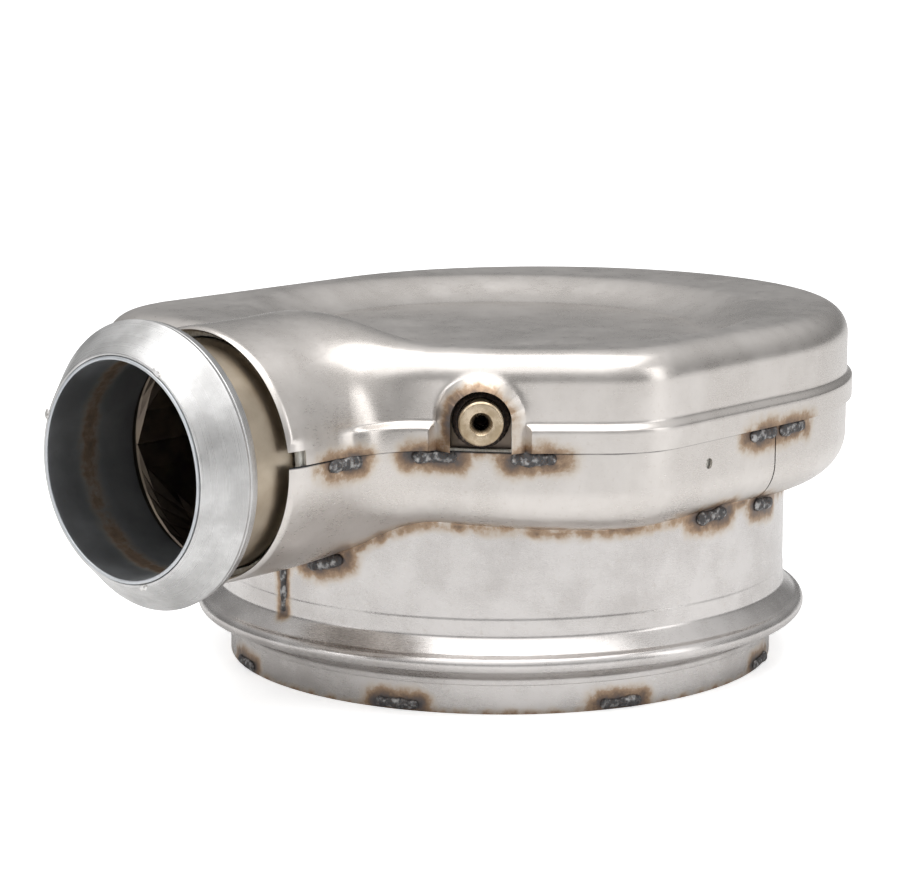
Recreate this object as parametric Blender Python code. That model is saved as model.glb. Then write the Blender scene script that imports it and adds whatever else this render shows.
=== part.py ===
"""Diesel oxidation catalyst with a stamped heat shield, a side inlet and a clamp bead on the can.

Units are metres, +Z is up. The inlet points along -Y, the outlet rim lies on z = 0, and the can
axis stands at x = 0, y = CAN_Y, so that the bounding box is centred on the origin.
"""

import math

import bmesh
import bpy
import numpy as np
from mathutils import Matrix, Vector

# Sheet and fits
SHEET = 0.0015
WELD_GAP = 0.0003
FIT = 0.0003
SOFT_GAP = 0.0009

# Body of the heat shield, seen from above
BODY_HALF_WIDTH = 0.1835
REAR_CENTRE_Y = 0.044
FRONT_WALL_DISTANCE = 0.188
FRONT_WALL_TURN = math.radians(42.0)
END_WALL_DISTANCE = 0.178
FRONT_BLEND = 0.020
END_BLEND = 0.054

# Body of the heat shield, seen from the side
TOP_Z = 0.208
BOTTOM_Z = 0.1055
TOP_CORNER_RADIUS = 0.017
BOTTOM_CORNER_RADIUS = 0.026
RIDGE_RADIUS = 0.158
RECESS_RADIUS = 0.121
RECESS_DEPTH = 0.013

# Inlet tunnel of the heat shield
INLET_Z = 0.1515
TUNNEL_RADIUS = 0.07075
TUNNEL_END_Y = -0.2509
TUNNEL_CURL = 0.0055
TUNNEL_FALL_Y = -0.200
TUNNEL_FALL_RATE = 0.72
TUNNEL_BLEND = 0.034

# Joggled lip and the seam under it
LIP_Z = 0.1537
LIP_HEIGHT = 0.0118
LIP_STEP_HEIGHT = 0.0045
LIP_PROUD = 0.0033
SEAM_TUCK = 0.0083
TUCK_MARGIN = 0.028
SEAM_GAP = 0.0004
LOWER_SPLIT_Y = 0.029
LOWER_SPLIT_GAP = 0.0010
VENT_HOLE_RADIUS = 0.0030
VENT_HOLE_Y = -0.034
VENT_HOLE_Z = 0.140

# Inner chamber and its insulation
CHAMBER_INSET = 0.0072
CHAMBER_SEAM_Z = 0.148
CHAMBER_END_Y = -0.240
TUNNEL_SOFT_GAP = 0.0015

# Can, pilot ring and what the can holds
CAN_RADIUS = 0.1725
CAN_TOP_Z = 0.121
CAN_SKIRT_Z = 0.017
BEAD_RADIUS = 0.1851
BEAD_Z = 0.0325
BEAD_HALF_HEIGHT = 0.011
PILOT_RADIUS = 0.16515
PILOT_TOP_Z = 0.030
SLEEVE_SHEET = 0.0012
SLEEVE_TOP_Z = 0.098
MAT_THICKNESS = 0.0055
BRICK_BOTTOM_Z = 0.014
BRICK_TOP_Z = 0.092
MAT_MARGIN = 0.006

# Inlet pipe, liner and clamp flange, stations measured inward from the mouth
MOUTH_DISTANCE = 0.3067
PIPE_RADIUS = 0.0635
PIPE_SHEET = 0.0020
LINER_BORE_RADIUS = 0.059
LINER_SHEET = 0.0020
LINER_LENGTH = 0.062
FLANGE_NOSE_STATION = 0.0008
FLANGE_NOSE_RADIUS = 0.0627
FLANGE_SHOULDER_STATION = 0.0191
FLANGE_SHOULDER_RADIUS = 0.07855
FLANGE_BACK_STATION = 0.0271
FLANGE_BACK_RADIUS = 0.0772
FLANGE_SEAT_STATION = 0.0125
FLANGE_WELD_LENGTH = 0.0055
FLANGE_WELD_HEIGHT = 0.0038

# Sensor boss and the arch pressed around it
BOSS_ALONG_WALL = -0.014
BOSS_Z = 0.171
BOSS_RADIUS = 0.0122
BOSS_BORE_RADIUS = 0.0036
BOSS_MOUTH_RADIUS = 0.0064
BOSS_MOUTH_DEPTH = 0.0035
BOSS_PROUD = 0.0095
BOSS_EDGE = 0.0010
BOSS_WELD_WIDTH = 0.0036
BOSS_WELD_HEIGHT = 0.0042
ARCH_RADIUS = 0.0235
ARCH_PROUD = 0.0068
ARCH_EDGE = 0.0040
ARCH_OPENING_RADIUS = 0.0167

# Welds
STITCH_LENGTH = 0.021
STITCH_WIDTH = 0.0055
STITCH_HEIGHT = 0.0028
STITCH_ANGLES = (-69.9, -60.3, -43.5, 5.2, 13.8, 50.0, 90.0, 130.0, 166.0, 176.0, 215.0)
BEAD_STATIONS = (-0.5, -0.34, 0.34, 0.5)
CAN_WELD_ANGLES = (-5.0, 13.5, -84.0, 90.0, 185.0, 167.0)
RIM_WELD_COUNT = 8
RIM_WELD_START = -69.5
RIM_WELD_LENGTH = 0.026
CAN_SEAM_ANGLE = -95.0
CAN_SEAM_WIDTH = 0.0045
CAN_SEAM_HEIGHT = 0.0009
LINER_TACK_ANGLES = (62.0, 158.0, 285.0)
LINER_TACK_SIZE = 0.0035

# Mesh density
PLAN_POINTS = 38
ARCH_POINTS = 13
CAN_SEGMENTS = 56
BRICK_SEGMENTS = 48
PIPE_SEGMENTS = 44
SEEN_STEPS = (24.0, 46.0, 68.0, 88.0)
HIDDEN_STEPS = (44.0, 88.0)

# Places worked out from the sizes above
CAN_Y = (MOUTH_DISTANCE - REAR_CENTRE_Y - BODY_HALF_WIDTH - LIP_PROUD) / 2
FRONT_NORMAL = (math.sin(FRONT_WALL_TURN), -math.cos(FRONT_WALL_TURN))
FRONT_ALONG = (math.cos(FRONT_WALL_TURN), math.sin(FRONT_WALL_TURN))
CAN_AXIS = Vector((0.0, CAN_Y, 0.0))


def clear_scene():
    for thing in list(bpy.data.objects):
        bpy.data.objects.remove(thing, do_unlink=True)


def material(name, colour, roughness, metallic):
    made = bpy.data.materials.new(name)
    made.use_nodes = True
    shader = made.node_tree.nodes["Principled BSDF"]
    shader.inputs["Base Color"].default_value = (*colour, 1.0)
    shader.inputs["Roughness"].default_value = roughness
    shader.inputs["Metallic"].default_value = metallic
    made.diffuse_color = (*colour, 1.0)
    return made


def add_object(name, mesh, finish=None, smooth=False):
    made = bpy.data.objects.new(name, mesh)
    bpy.context.scene.collection.objects.link(made)
    if finish is not None:
        mesh.materials.append(finish)
    for polygon in mesh.polygons:
        polygon.use_smooth = smooth
    return made


def mesh_from(name, points, faces):
    mesh = bpy.data.meshes.new(name)
    mesh.from_pydata([tuple(point) for point in points], [], faces)
    work = bmesh.new()
    work.from_mesh(mesh)
    bmesh.ops.recalc_face_normals(work, faces=work.faces)
    work.to_mesh(mesh)
    work.free()
    return mesh


# The form of the stamped shells, as a distance to their surface in the can's own frame


def smooth_min(a, b, blend):
    overlap = np.maximum(blend - np.abs(a - b), 0.0) / blend
    return np.minimum(a, b) - overlap * overlap * blend / 4


def smooth_max(a, b, blend):
    return -smooth_min(-a, -b, blend)


def rounded_corner(a, b, radius):
    outside = np.hypot(np.maximum(a + radius, 0.0), np.maximum(b + radius, 0.0))
    return outside + np.minimum(np.maximum(a + radius, b + radius), 0.0) - radius


def plan_distance(x, y):
    rear = np.hypot(x, np.maximum(y - REAR_CENTRE_Y, 0.0)) - BODY_HALF_WIDTH
    front = FRONT_NORMAL[0] * x + FRONT_NORMAL[1] * y - FRONT_WALL_DISTANCE
    end = -y - END_WALL_DISTANCE
    return smooth_max(smooth_max(rear, front, FRONT_BLEND), end, END_BLEND)


def top_height(x, y):
    reach = np.clip((RIDGE_RADIUS - np.hypot(x, y)) / (RIDGE_RADIUS - RECESS_RADIUS), 0.0, 1.0)
    return TOP_Z - RECESS_DEPTH * reach * reach * (3.0 - 2.0 * reach)


def body_distance(x, y, z, inset):
    wall = plan_distance(x, y) + inset
    above = rounded_corner(wall, z - top_height(x, y) + inset, TOP_CORNER_RADIUS - inset)
    below = rounded_corner(wall, BOTTOM_Z - z + inset, BOTTOM_CORNER_RADIUS - inset)
    return np.where(z > LIP_Z, above, below)


def tunnel_distance(x, y, z, radius, end_y, curl):
    fall = TUNNEL_FALL_RATE * np.maximum(y - TUNNEL_FALL_Y, 0.0)
    around = np.sqrt(x * x + (z - INLET_Z) ** 2 + fall * fall) - radius
    return rounded_corner(around, end_y - y, curl)


class Form:
    """One layer of the stamped shells: a body set in from the shield, and its inlet tunnel."""

    def __init__(self, inset, tunnel_radius, end_y, curl=0.0):
        self.inset = inset
        self.curl = curl
        self.tunnel_radius = tunnel_radius
        self.end_y = end_y

    def distance(self, points):
        x, y, z = points[..., 0], points[..., 1], points[..., 2]
        body = body_distance(x, y, z, self.inset)
        tunnel = tunnel_distance(x, y, z, self.tunnel_radius, self.end_y, self.curl)
        return smooth_min(body, tunnel, TUNNEL_BLEND)

    def normal(self, points):
        step = 1e-5
        slopes = []
        for axis in range(3):
            shift = np.zeros(3)
            shift[axis] = step
            slopes.append((self.distance(points + shift) - self.distance(points - shift)) / (2 * step))
        gradient = np.stack(slopes, axis=-1)
        return gradient / np.linalg.norm(gradient, axis=-1, keepdims=True)

    def nearest(self, points, level):
        placed = points.copy()
        for _ in range(25):
            miss = self.distance(placed) - level
            placed = placed - self.normal(placed) * miss[..., None]
        return placed

    def along(self, starts, directions, level, reach=0.4):
        near = np.zeros(len(starts))
        far = np.full(len(starts), reach)
        for _ in range(40):
            middle = (near + far) / 2
            inside = self.distance(starts + directions * middle[:, None]) < level
            near = np.where(inside, middle, near)
            far = np.where(inside, far, middle)
        return starts + directions * near[:, None]

    def outline_at(self, angles, z, level=0.0):
        starts = np.zeros((len(angles), 3))
        starts[:, 2] = z
        directions = np.stack([np.cos(angles), np.sin(angles), np.zeros(len(angles))], axis=-1)
        return self.along(starts, directions, level)


SHIELD = Form(0.0, TUNNEL_RADIUS, TUNNEL_END_Y, TUNNEL_CURL)
SHIELD_OPEN = Form(0.0, TUNNEL_RADIUS, TUNNEL_END_Y - 0.05)
CHAMBER = Form(CHAMBER_INSET, PIPE_RADIUS, CHAMBER_END_Y)
BLANKET_OUTER = Form(SHEET + SOFT_GAP, TUNNEL_RADIUS - SHEET - TUNNEL_SOFT_GAP, CHAMBER_END_Y)
BLANKET_INNER = Form(CHAMBER_INSET - SOFT_GAP, PIPE_RADIUS + TUNNEL_SOFT_GAP, CHAMBER_END_Y)


def detail_angles(count):
    """Angles about the can axis, closer together where the plan of the shield turns."""
    first = math.atan2(TUNNEL_END_Y, TUNNEL_RADIUS)
    last = math.atan2(TUNNEL_END_Y, -TUNNEL_RADIUS) + 2 * math.pi
    fine = np.linspace(first, last, 1500)
    outline = SHIELD_OPEN.outline_at(fine, INLET_Z)
    steps = np.diff(outline[:, :2], axis=0)
    lengths = np.hypot(steps[:, 0], steps[:, 1])
    headings = np.unwrap(np.arctan2(steps[:, 1], steps[:, 0]))
    turns = np.abs(np.diff(headings, prepend=headings[0]))
    measure = np.concatenate([[0.0], np.cumsum(lengths / 0.040 + turns / math.radians(9.0))])
    return np.interp(np.linspace(0.0, measure[-1], count), measure, fine)


class Ring:
    """One ring of a shell: how high it runs on the wall and how far in from the tunnel end."""

    def __init__(self, z, inset, from_end, lip=0.0):
        self.z = z
        self.inset = inset
        self.from_end = from_end
        self.lip = lip


def tunnel_share(points, margin=0.0):
    """One on the inlet tunnel and nought on the body, with a smooth change between."""
    reach = TUNNEL_RADIUS + 0.041 + margin
    beyond = np.clip((margin - FRONT_WALL_DISTANCE - 0.004 - points[:, 1]) / 0.016, 0.0, 1.0)
    beside = np.clip((reach - np.abs(points[:, 0])) / 0.028, 0.0, 1.0)
    share = beyond * beside
    return share * share * (3.0 - 2.0 * share)


def ring_points(form, ring, outline, normals, up):
    """Points of a ring: along the wall, then over the tunnel from its left side to its right."""
    guess = outline.copy()
    guess[:, :2] -= normals[:, :2] * ring.inset
    guess[:, 2] = ring.z
    begin = -FRONT_WALL_DISTANCE
    squeeze = (form.end_y + ring.from_end - begin) / (TUNNEL_END_Y - begin)
    on_tunnel = guess[:, 1] < begin
    guess[on_tunnel, 1] = begin + (guess[on_tunnel, 1] - begin) * squeeze
    rise = ring.z - INLET_Z
    side = math.atan2(rise, form.tunnel_radius - ring.inset)
    span = math.pi if up else -math.pi
    turn = np.linspace(span - side, side, ARCH_POINTS + 2)[1:-1]
    arch = np.stack(
        [
            form.tunnel_radius * np.cos(turn),
            np.full(ARCH_POINTS, form.end_y + ring.from_end),
            INLET_Z + form.tunnel_radius * np.sin(turn),
        ],
        axis=-1,
    )
    lip = ring.lip * (1.0 - tunnel_share(guess))
    levels = np.concatenate([lip, np.zeros(ARCH_POINTS)])
    return np.concatenate([guess, arch]), levels


def shell_rings(form, rings, circles, depth, up):
    """All rings of one skin of a shell, from its rim to the can axis."""
    angles = detail_angles(PLAN_POINTS)
    outline = SHIELD_OPEN.outline_at(angles, INLET_Z)
    normals = SHIELD_OPEN.normal(outline)
    skin = []
    for ring in rings:
        guess, levels = ring_points(form, ring, outline, normals, up)
        fixed = form.nearest(guess, levels)
        placed = form.nearest(fixed, levels - depth)
        placed[:, 2] = np.where(np.abs(fixed[:, 2] - ring.z) < 1e-4, ring.z, placed[:, 2])
        skin.append(placed)
    last = skin[-1]
    around = np.arctan2(last[:, 1], last[:, 0])
    for radius, share in circles:
        goal = np.stack([radius * np.cos(around), radius * np.sin(around)], axis=-1)
        starts = np.zeros((len(last), 3))
        starts[:, :2] = last[:, :2] * (1.0 - share) + goal * share
        starts[:, 2] = INLET_Z
        directions = np.tile([0.0, 0.0, 1.0 if up else -1.0], (len(last), 1))
        skin.append(form.along(starts, directions, -depth, reach=0.12))
    return skin


def close_shell(name, outer, inner, capped):
    """A closed sheet between two skins that share the same rings."""
    count = len(outer[0])
    points = [tuple(point) for ring in outer + inner for point in ring]
    faces = []

    def band(first, second):
        for i in range(count):
            k = (i + 1) % count
            faces.append((first + i, first + k, second + k))
            faces.append((first + i, second + k, second + i))

    rows = len(outer)
    for skin in (0, rows * count):
        for row in range(rows - 1):
            band(skin + row * count, skin + (row + 1) * count)
    band(0, rows * count)
    if capped:
        for skin in (0, rows * count):
            last = skin + (rows - 1) * count
            centre = len(points)
            points.append((0.0, 0.0, points[last][2]))
            for i in range(count):
                faces.append((last + i, last + (i + 1) % count, centre))
    else:
        band((rows - 1) * count, (2 * rows - 1) * count)
    shifted = [(x, y + CAN_Y, z) for x, y, z in points]
    return mesh_from(name, shifted, faces)


# Simple solids


def turned(name, profile, finish, centre, axis, segments, closed=True):
    """A ring or disc turned about an axis; the profile is (radius, station along the axis)."""
    direction = Vector(axis).normalized()
    side = direction.orthogonal().normalized()
    up = direction.cross(side)
    points = []
    for index in range(segments):
        turn = 2 * math.pi * index / segments
        out = side * math.cos(turn) + up * math.sin(turn)
        for radius, station in profile:
            points.append(Vector(centre) + out * radius + direction * station)
    count = len(profile)
    faces = []
    for index in range(segments):
        here = index * count
        there = ((index + 1) % segments) * count
        for k in range(count if closed else count - 1):
            n = (k + 1) % count
            faces.append((here + k, here + n, there + n, there + k))
    if not closed:
        faces.append(tuple(index * count for index in range(segments)))
        faces.append(tuple(index * count + count - 1 for index in range(segments)))
    return add_object(name, mesh_from(name, points, faces), finish, smooth=True)


def tube(name, outer, inner, low, high, finish, centre, axis, segments):
    profile = [(outer, low), (outer, high), (inner, high), (inner, low)]
    return turned(name, profile, finish, centre, axis, segments)


def cutter_cylinder(name, radius, low, high, centre, axis, segments):
    made = turned(name, [(radius, low), (radius, high)], None, centre, axis, segments, closed=False)
    return hide_cutter(made)


def cutter_box(name, low, high):
    work = bmesh.new()
    bmesh.ops.create_cube(work, size=1.0)
    for vert in work.verts:
        vert.co = Vector([low[k] if vert.co[k] < 0 else high[k] for k in range(3)])
    mesh = bpy.data.meshes.new(name)
    work.to_mesh(mesh)
    work.free()
    return hide_cutter(add_object(name, mesh))


def hide_cutter(made):
    made.display_type = "WIRE"
    made.hide_render = True
    return made


def carve(target, tool, operation="DIFFERENCE"):
    """Apply a Boolean at once and drop the tool."""
    step = target.modifiers.new(tool.name, "BOOLEAN")
    step.operation = operation
    step.object = tool
    step.solver = "EXACT"
    graph = bpy.context.evaluated_depsgraph_get()
    result = bpy.data.meshes.new_from_object(target.evaluated_get(graph))
    target.modifiers.clear()
    target.data = result
    bpy.data.objects.remove(tool, do_unlink=True)


def front_frame(offset):
    """Frame on the flat front wall at the sensor boss: x along the wall, y up, z outward."""
    along = Vector((FRONT_ALONG[0], FRONT_ALONG[1], 0.0))
    out = Vector((FRONT_NORMAL[0], FRONT_NORMAL[1], 0.0))
    place = CAN_AXIS + along * BOSS_ALONG_WALL + out * (FRONT_WALL_DISTANCE + offset)
    place.z = BOSS_Z
    return Matrix.Translation(place) @ Matrix((along, Vector((0, 0, 1)), out)).transposed().to_4x4()


def arch_prism(name, radius, foot, low, high, edge=0.0, steps=20):
    """An arch outline on the front wall, drawn out from low to high, its outer edge rounded."""
    layers = [(0.0, low), (0.0, high - edge)]
    if edge > 0.0:
        layers += [(edge * (1 - math.cos(math.radians(a))), high - edge + edge * math.sin(math.radians(a)))
                   for a in (30.0, 60.0, 90.0)]
    frame = front_frame(0.0)
    points = []
    for inset, out in layers:
        reach = radius - inset
        row = [(reach, foot)]
        row += [(reach * math.cos(math.pi * k / steps), reach * math.sin(math.pi * k / steps))
                for k in range(steps + 1)]
        row.append((-reach, foot))
        points += [frame @ Vector((x, y, out)) for x, y in row]
    count = steps + 3
    faces = [tuple(range(count)), tuple((len(layers) - 1) * count + k for k in range(count))]
    for layer in range(len(layers) - 1):
        for k in range(count):
            n = (k + 1) % count
            base = layer * count
            faces.append((base + k, base + n, base + count + n, base + count + k))
    return hide_cutter(add_object(name, mesh_from(name, points, faces)))


# Stamped shells


def upper_rings(lip_proud, corner_steps):
    wall_top = TOP_Z - TOP_CORNER_RADIUS
    rings = [
        Ring(LIP_Z, 0.0, 0.0, lip_proud),
        Ring(LIP_Z + LIP_HEIGHT, 0.0, 0.0018, lip_proud),
        Ring(LIP_Z + LIP_HEIGHT + LIP_STEP_HEIGHT, 0.0, TUNNEL_CURL + 0.001),
        Ring(wall_top, 0.0, 0.016),
    ]
    for degrees in corner_steps:
        turn = math.radians(degrees)
        inset = TOP_CORNER_RADIUS * (1 - math.cos(turn))
        height = wall_top + TOP_CORNER_RADIUS * math.sin(turn)
        rings.append(Ring(height, inset, 0.016 + 0.020 * degrees / 90.0))
    return rings


def upper_circles():
    slope = RIDGE_RADIUS - RECESS_RADIUS
    return [
        (RIDGE_RADIUS, 0.5),
        (RIDGE_RADIUS, 1.0),
        (RIDGE_RADIUS - slope * 0.33, 1.0),
        (RIDGE_RADIUS - slope * 0.67, 1.0),
        (RECESS_RADIUS, 1.0),
    ]


def shield_upper(finish):
    rings = upper_rings(LIP_PROUD, SEEN_STEPS)
    circles = upper_circles()
    outer = shell_rings(SHIELD, rings, circles, 0.0, True)
    inner = shell_rings(SHIELD, rings, circles, SHEET, True)
    made = add_object("shield_upper", close_shell("shield_upper", outer, inner, True), finish, True)
    foot = LIP_Z - BOSS_Z
    carve(made, arch_prism("arch_pad", ARCH_RADIUS, foot, -SHEET / 2, ARCH_PROUD, ARCH_EDGE), "UNION")
    hollow = arch_prism("arch_hollow", ARCH_RADIUS - SHEET, foot - 0.01, -SHEET * 2,
                        ARCH_PROUD - SHEET, ARCH_EDGE - SHEET)
    carve(made, hollow)
    carve(made, arch_prism("arch_opening", ARCH_OPENING_RADIUS, foot - 0.02, -0.01, 0.03))
    return made


def lower_rings(top_z, corner_steps):
    wall_bottom = BOTTOM_Z + BOTTOM_CORNER_RADIUS
    rings = [Ring(top_z, 0.0, 0.0), Ring(wall_bottom, 0.0, TUNNEL_CURL + 0.001)]
    for degrees in corner_steps:
        turn = math.radians(degrees)
        inset = BOTTOM_CORNER_RADIUS * (1 - math.cos(turn))
        height = wall_bottom - BOTTOM_CORNER_RADIUS * math.sin(turn)
        rings.append(Ring(height, inset, 0.012 + 0.020 * degrees / 90.0))
    return rings


def lower_shell(name, form, inner_form, depth, top_z, tuck, corner_steps, finish):
    """A pan with an opening for the can; its top edge tucks up behind the lip on the body."""
    rings = lower_rings(top_z, corner_steps)
    circles = [(0.150, 1.0)]
    outer = shell_rings(form, rings, circles, 0.0, False)
    inner = shell_rings(inner_form, rings, circles, depth, False)
    for skin in (outer, inner):
        rim = skin[0][:PLAN_POINTS]
        rim[:, 2] += tuck * (1.0 - tunnel_share(rim, TUCK_MARGIN))
    return add_object(name, close_shell(name, outer, inner, False), finish, True)


def can_opening(clearance):
    radius = CAN_RADIUS + clearance
    return cutter_cylinder("can_opening", radius, 0.05, 0.135, CAN_AXIS, (0, 0, 1), CAN_SEGMENTS)


def lower_shield_piece(name, rear, finish):
    top = LIP_Z - SEAM_GAP
    made = lower_shell(name, SHIELD, SHIELD, SHEET, top, SEAM_TUCK, SEEN_STEPS, finish)
    carve(made, can_opening(FIT))
    split = CAN_Y + LOWER_SPLIT_Y
    if rear:
        box = cutter_box("keep", (-0.4, split + LOWER_SPLIT_GAP / 2, 0.0), (0.4, 0.5, 0.3))
    else:
        box = cutter_box("keep", (-0.4, -0.5, 0.0), (0.4, split - LOWER_SPLIT_GAP / 2, 0.3))
    carve(made, box, "INTERSECT")
    if not rear:
        place = CAN_AXIS + Vector((0.0, VENT_HOLE_Y, VENT_HOLE_Z))
        hole = cutter_cylinder("vent", VENT_HOLE_RADIUS, 0.15, 0.25, place, (1, 0, 0), 16)
        carve(made, hole)
        foot = LIP_Z - SEAM_GAP - BOSS_Z
        notch = arch_prism("arch_notch", ARCH_RADIUS + SEAM_GAP, foot, -0.01, 0.03)
        carve(made, notch)
    return made


def insulation_upper(finish):
    rings = [ring for k, ring in enumerate(upper_rings(0.0, HIDDEN_STEPS)) if k != 1]
    rings[0].z = LIP_Z - 0.0037
    circles = upper_circles()[1:]
    outer = shell_rings(BLANKET_OUTER, rings, circles, 0.0, True)
    inner = shell_rings(BLANKET_INNER, rings, circles, 0.0, True)
    made = add_object("insulation_upper", close_shell("insulation_upper", outer, inner, True), finish, True)
    carve(made, arch_prism("blanket_opening", ARCH_OPENING_RADIUS, -ARCH_OPENING_RADIUS, -0.02, 0.01))
    return made


def insulation_lower(finish):
    top = LIP_Z - 0.0037 - SOFT_GAP
    made = lower_shell("insulation_lower", BLANKET_OUTER, BLANKET_INNER, 0.0, top, 0.0, HIDDEN_STEPS, finish)
    carve(made, can_opening(SOFT_GAP))
    return made


def inner_head_upper(finish):
    rings = [ring for k, ring in enumerate(upper_rings(0.0, HIDDEN_STEPS)) if k != 1]
    rings[0].z = CHAMBER_SEAM_Z + SEAM_GAP / 2
    circles = upper_circles()[1:]
    outer = shell_rings(CHAMBER, rings, circles, 0.0, True)
    inner = shell_rings(CHAMBER, rings, circles, SHEET, True)
    made = add_object("inner_head_upper", close_shell("inner_head_upper", outer, inner, True), finish, True)
    frame = front_frame(0.0)
    out = Vector((FRONT_NORMAL[0], FRONT_NORMAL[1], 0.0))
    carve(made, cutter_cylinder("bore", BOSS_BORE_RADIUS + 0.001, -0.02, 0.02, frame.translation, out, 24))
    return made


def inner_head_lower(finish):
    top = CHAMBER_SEAM_Z - SEAM_GAP / 2
    made = lower_shell("inner_head_lower", CHAMBER, CHAMBER, SHEET, top, 0.0, HIDDEN_STEPS, finish)
    carve(made, can_opening(FIT))
    return made


# Can, ring and brick


def can_body(finish):
    """The can with its rolled clamp bead, from the lap on the pilot ring to inside the chamber."""
    skirt = PILOT_RADIUS + FIT + SHEET
    lower = BEAD_Z - BEAD_HALF_HEIGHT
    upper = BEAD_Z + BEAD_HALF_HEIGHT
    crown = 0.0052
    outer = [
        (skirt, CAN_SKIRT_Z),
        (skirt, lower - 0.001),
        (skirt + 0.003, lower + 0.0012),
        (BEAD_RADIUS - crown * 0.9, BEAD_Z - crown * 0.95),
        (BEAD_RADIUS - crown * 0.25, BEAD_Z - crown * 0.55),
        (BEAD_RADIUS, BEAD_Z),
        (BEAD_RADIUS - crown * 0.25, BEAD_Z + crown * 0.55),
        (BEAD_RADIUS - crown * 0.9, BEAD_Z + crown * 0.95),
        (CAN_RADIUS + 0.0028, upper - 0.0008),
        (CAN_RADIUS, upper + 0.0025),
        (CAN_RADIUS, CAN_TOP_Z),
    ]
    profile = outer + offset_profile(outer, SHEET)
    return turned("can_body", profile, finish, CAN_AXIS, (0, 0, 1), CAN_SEGMENTS)


def offset_profile(outer, depth):
    """The same profile set in by the sheet, walked back so that both close a loop."""
    back = []
    for k, (radius, z) in enumerate(outer):
        before = outer[max(k - 1, 0)]
        after = outer[min(k + 1, len(outer) - 1)]
        first = Vector((radius - before[0], z - before[1]))
        second = Vector((after[0] - radius, after[1] - z))
        heading = first.normalized() + second.normalized() if first.length and second.length else first + second
        heading.normalize()
        reach = depth
        if first.length and second.length:
            reach = depth / max(heading.dot(first.normalized()), 0.5)
        back.append((radius - heading.y * reach, z + heading.x * reach))
    return back[::-1]


def pilot_ring(finish):
    return tube("pilot_ring", PILOT_RADIUS, PILOT_RADIUS - SHEET, 0.0, PILOT_TOP_Z, finish, CAN_AXIS,
                (0, 0, 1), CAN_SEGMENTS)


def brick_stack(sleeve_finish, mat_finish, brick_finish):
    sleeve_radius = PILOT_RADIUS - SHEET - FIT
    mat_radius = sleeve_radius - SLEEVE_SHEET - FIT
    brick_radius = mat_radius - MAT_THICKNESS - FIT
    mat_low = BRICK_BOTTOM_Z + MAT_MARGIN
    mat_high = BRICK_TOP_Z - MAT_MARGIN
    tube("brick_sleeve", sleeve_radius, sleeve_radius - SLEEVE_SHEET, 0.0005, SLEEVE_TOP_Z, sleeve_finish,
         CAN_AXIS, (0, 0, 1), BRICK_SEGMENTS)
    tube("support_mat", mat_radius, mat_radius - MAT_THICKNESS, mat_low, mat_high, mat_finish,
         CAN_AXIS, (0, 0, 1), BRICK_SEGMENTS)
    turned("catalyst_brick", [(brick_radius, BRICK_BOTTOM_Z), (brick_radius, BRICK_TOP_Z)], brick_finish,
           CAN_AXIS, (0, 0, 1), BRICK_SEGMENTS, closed=False)


# Inlet


def mouth_centre():
    return Vector((0.0, CAN_Y - MOUTH_DISTANCE, INLET_Z))


def inlet_parts(pipe_finish, flange_finish, weld_finish):
    centre = mouth_centre()
    inward = (0, 1, 0)
    liner_radius = LINER_BORE_RADIUS + LINER_SHEET
    tube("inlet_liner", liner_radius, LINER_BORE_RADIUS, 0.0, LINER_LENGTH, pipe_finish, centre, inward,
         PIPE_SEGMENTS)
    tube("inlet_pipe", PIPE_RADIUS, PIPE_RADIUS - PIPE_SHEET, FLANGE_SEAT_STATION + FIT,
         MOUTH_DISTANCE + CHAMBER_END_Y - FIT, pipe_finish, centre, inward, PIPE_SEGMENTS)
    bore = liner_radius + FIT
    seat = PIPE_RADIUS + FIT
    profile = [
        (bore, FLANGE_NOSE_STATION),
        (FLANGE_NOSE_RADIUS, FLANGE_NOSE_STATION),
        (FLANGE_SHOULDER_RADIUS, FLANGE_SHOULDER_STATION),
        (FLANGE_BACK_RADIUS, FLANGE_BACK_STATION),
        (seat, FLANGE_BACK_STATION),
        (seat, FLANGE_SEAT_STATION),
        (bore, FLANGE_SEAT_STATION),
    ]
    turned("inlet_flange", profile, flange_finish, centre, inward, CAN_SEGMENTS)
    weld_start = FLANGE_BACK_STATION + WELD_GAP
    weld = [
        (seat, weld_start),
        (seat + FLANGE_WELD_HEIGHT, weld_start),
        (seat + FLANGE_WELD_HEIGHT * 0.6, weld_start + FLANGE_WELD_LENGTH * 0.6),
        (seat, weld_start + FLANGE_WELD_LENGTH),
    ]
    turned("flange_weld", weld, weld_finish, centre, inward, PIPE_SEGMENTS)
    for index, degrees in enumerate(LINER_TACK_ANGLES):
        turn = math.radians(degrees)
        out = Vector((math.cos(turn), 0.0, math.sin(turn)))
        along = Vector((-math.sin(turn), 0.0, math.cos(turn)))
        reach = bore + LINER_TACK_SIZE / 2
        place = centre + out * reach + Vector((0, FLANGE_NOSE_STATION - WELD_GAP, 0))
        path = [place + along * LINER_TACK_SIZE * k for k in (-0.8, 0.0, 0.8)]
        weld_bead(f"liner_tack_{index + 1}", path, Vector((0, -1, 0)), LINER_TACK_SIZE,
                  FLANGE_NOSE_STATION - WELD_GAP, weld_finish)


# Sensor boss


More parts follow.
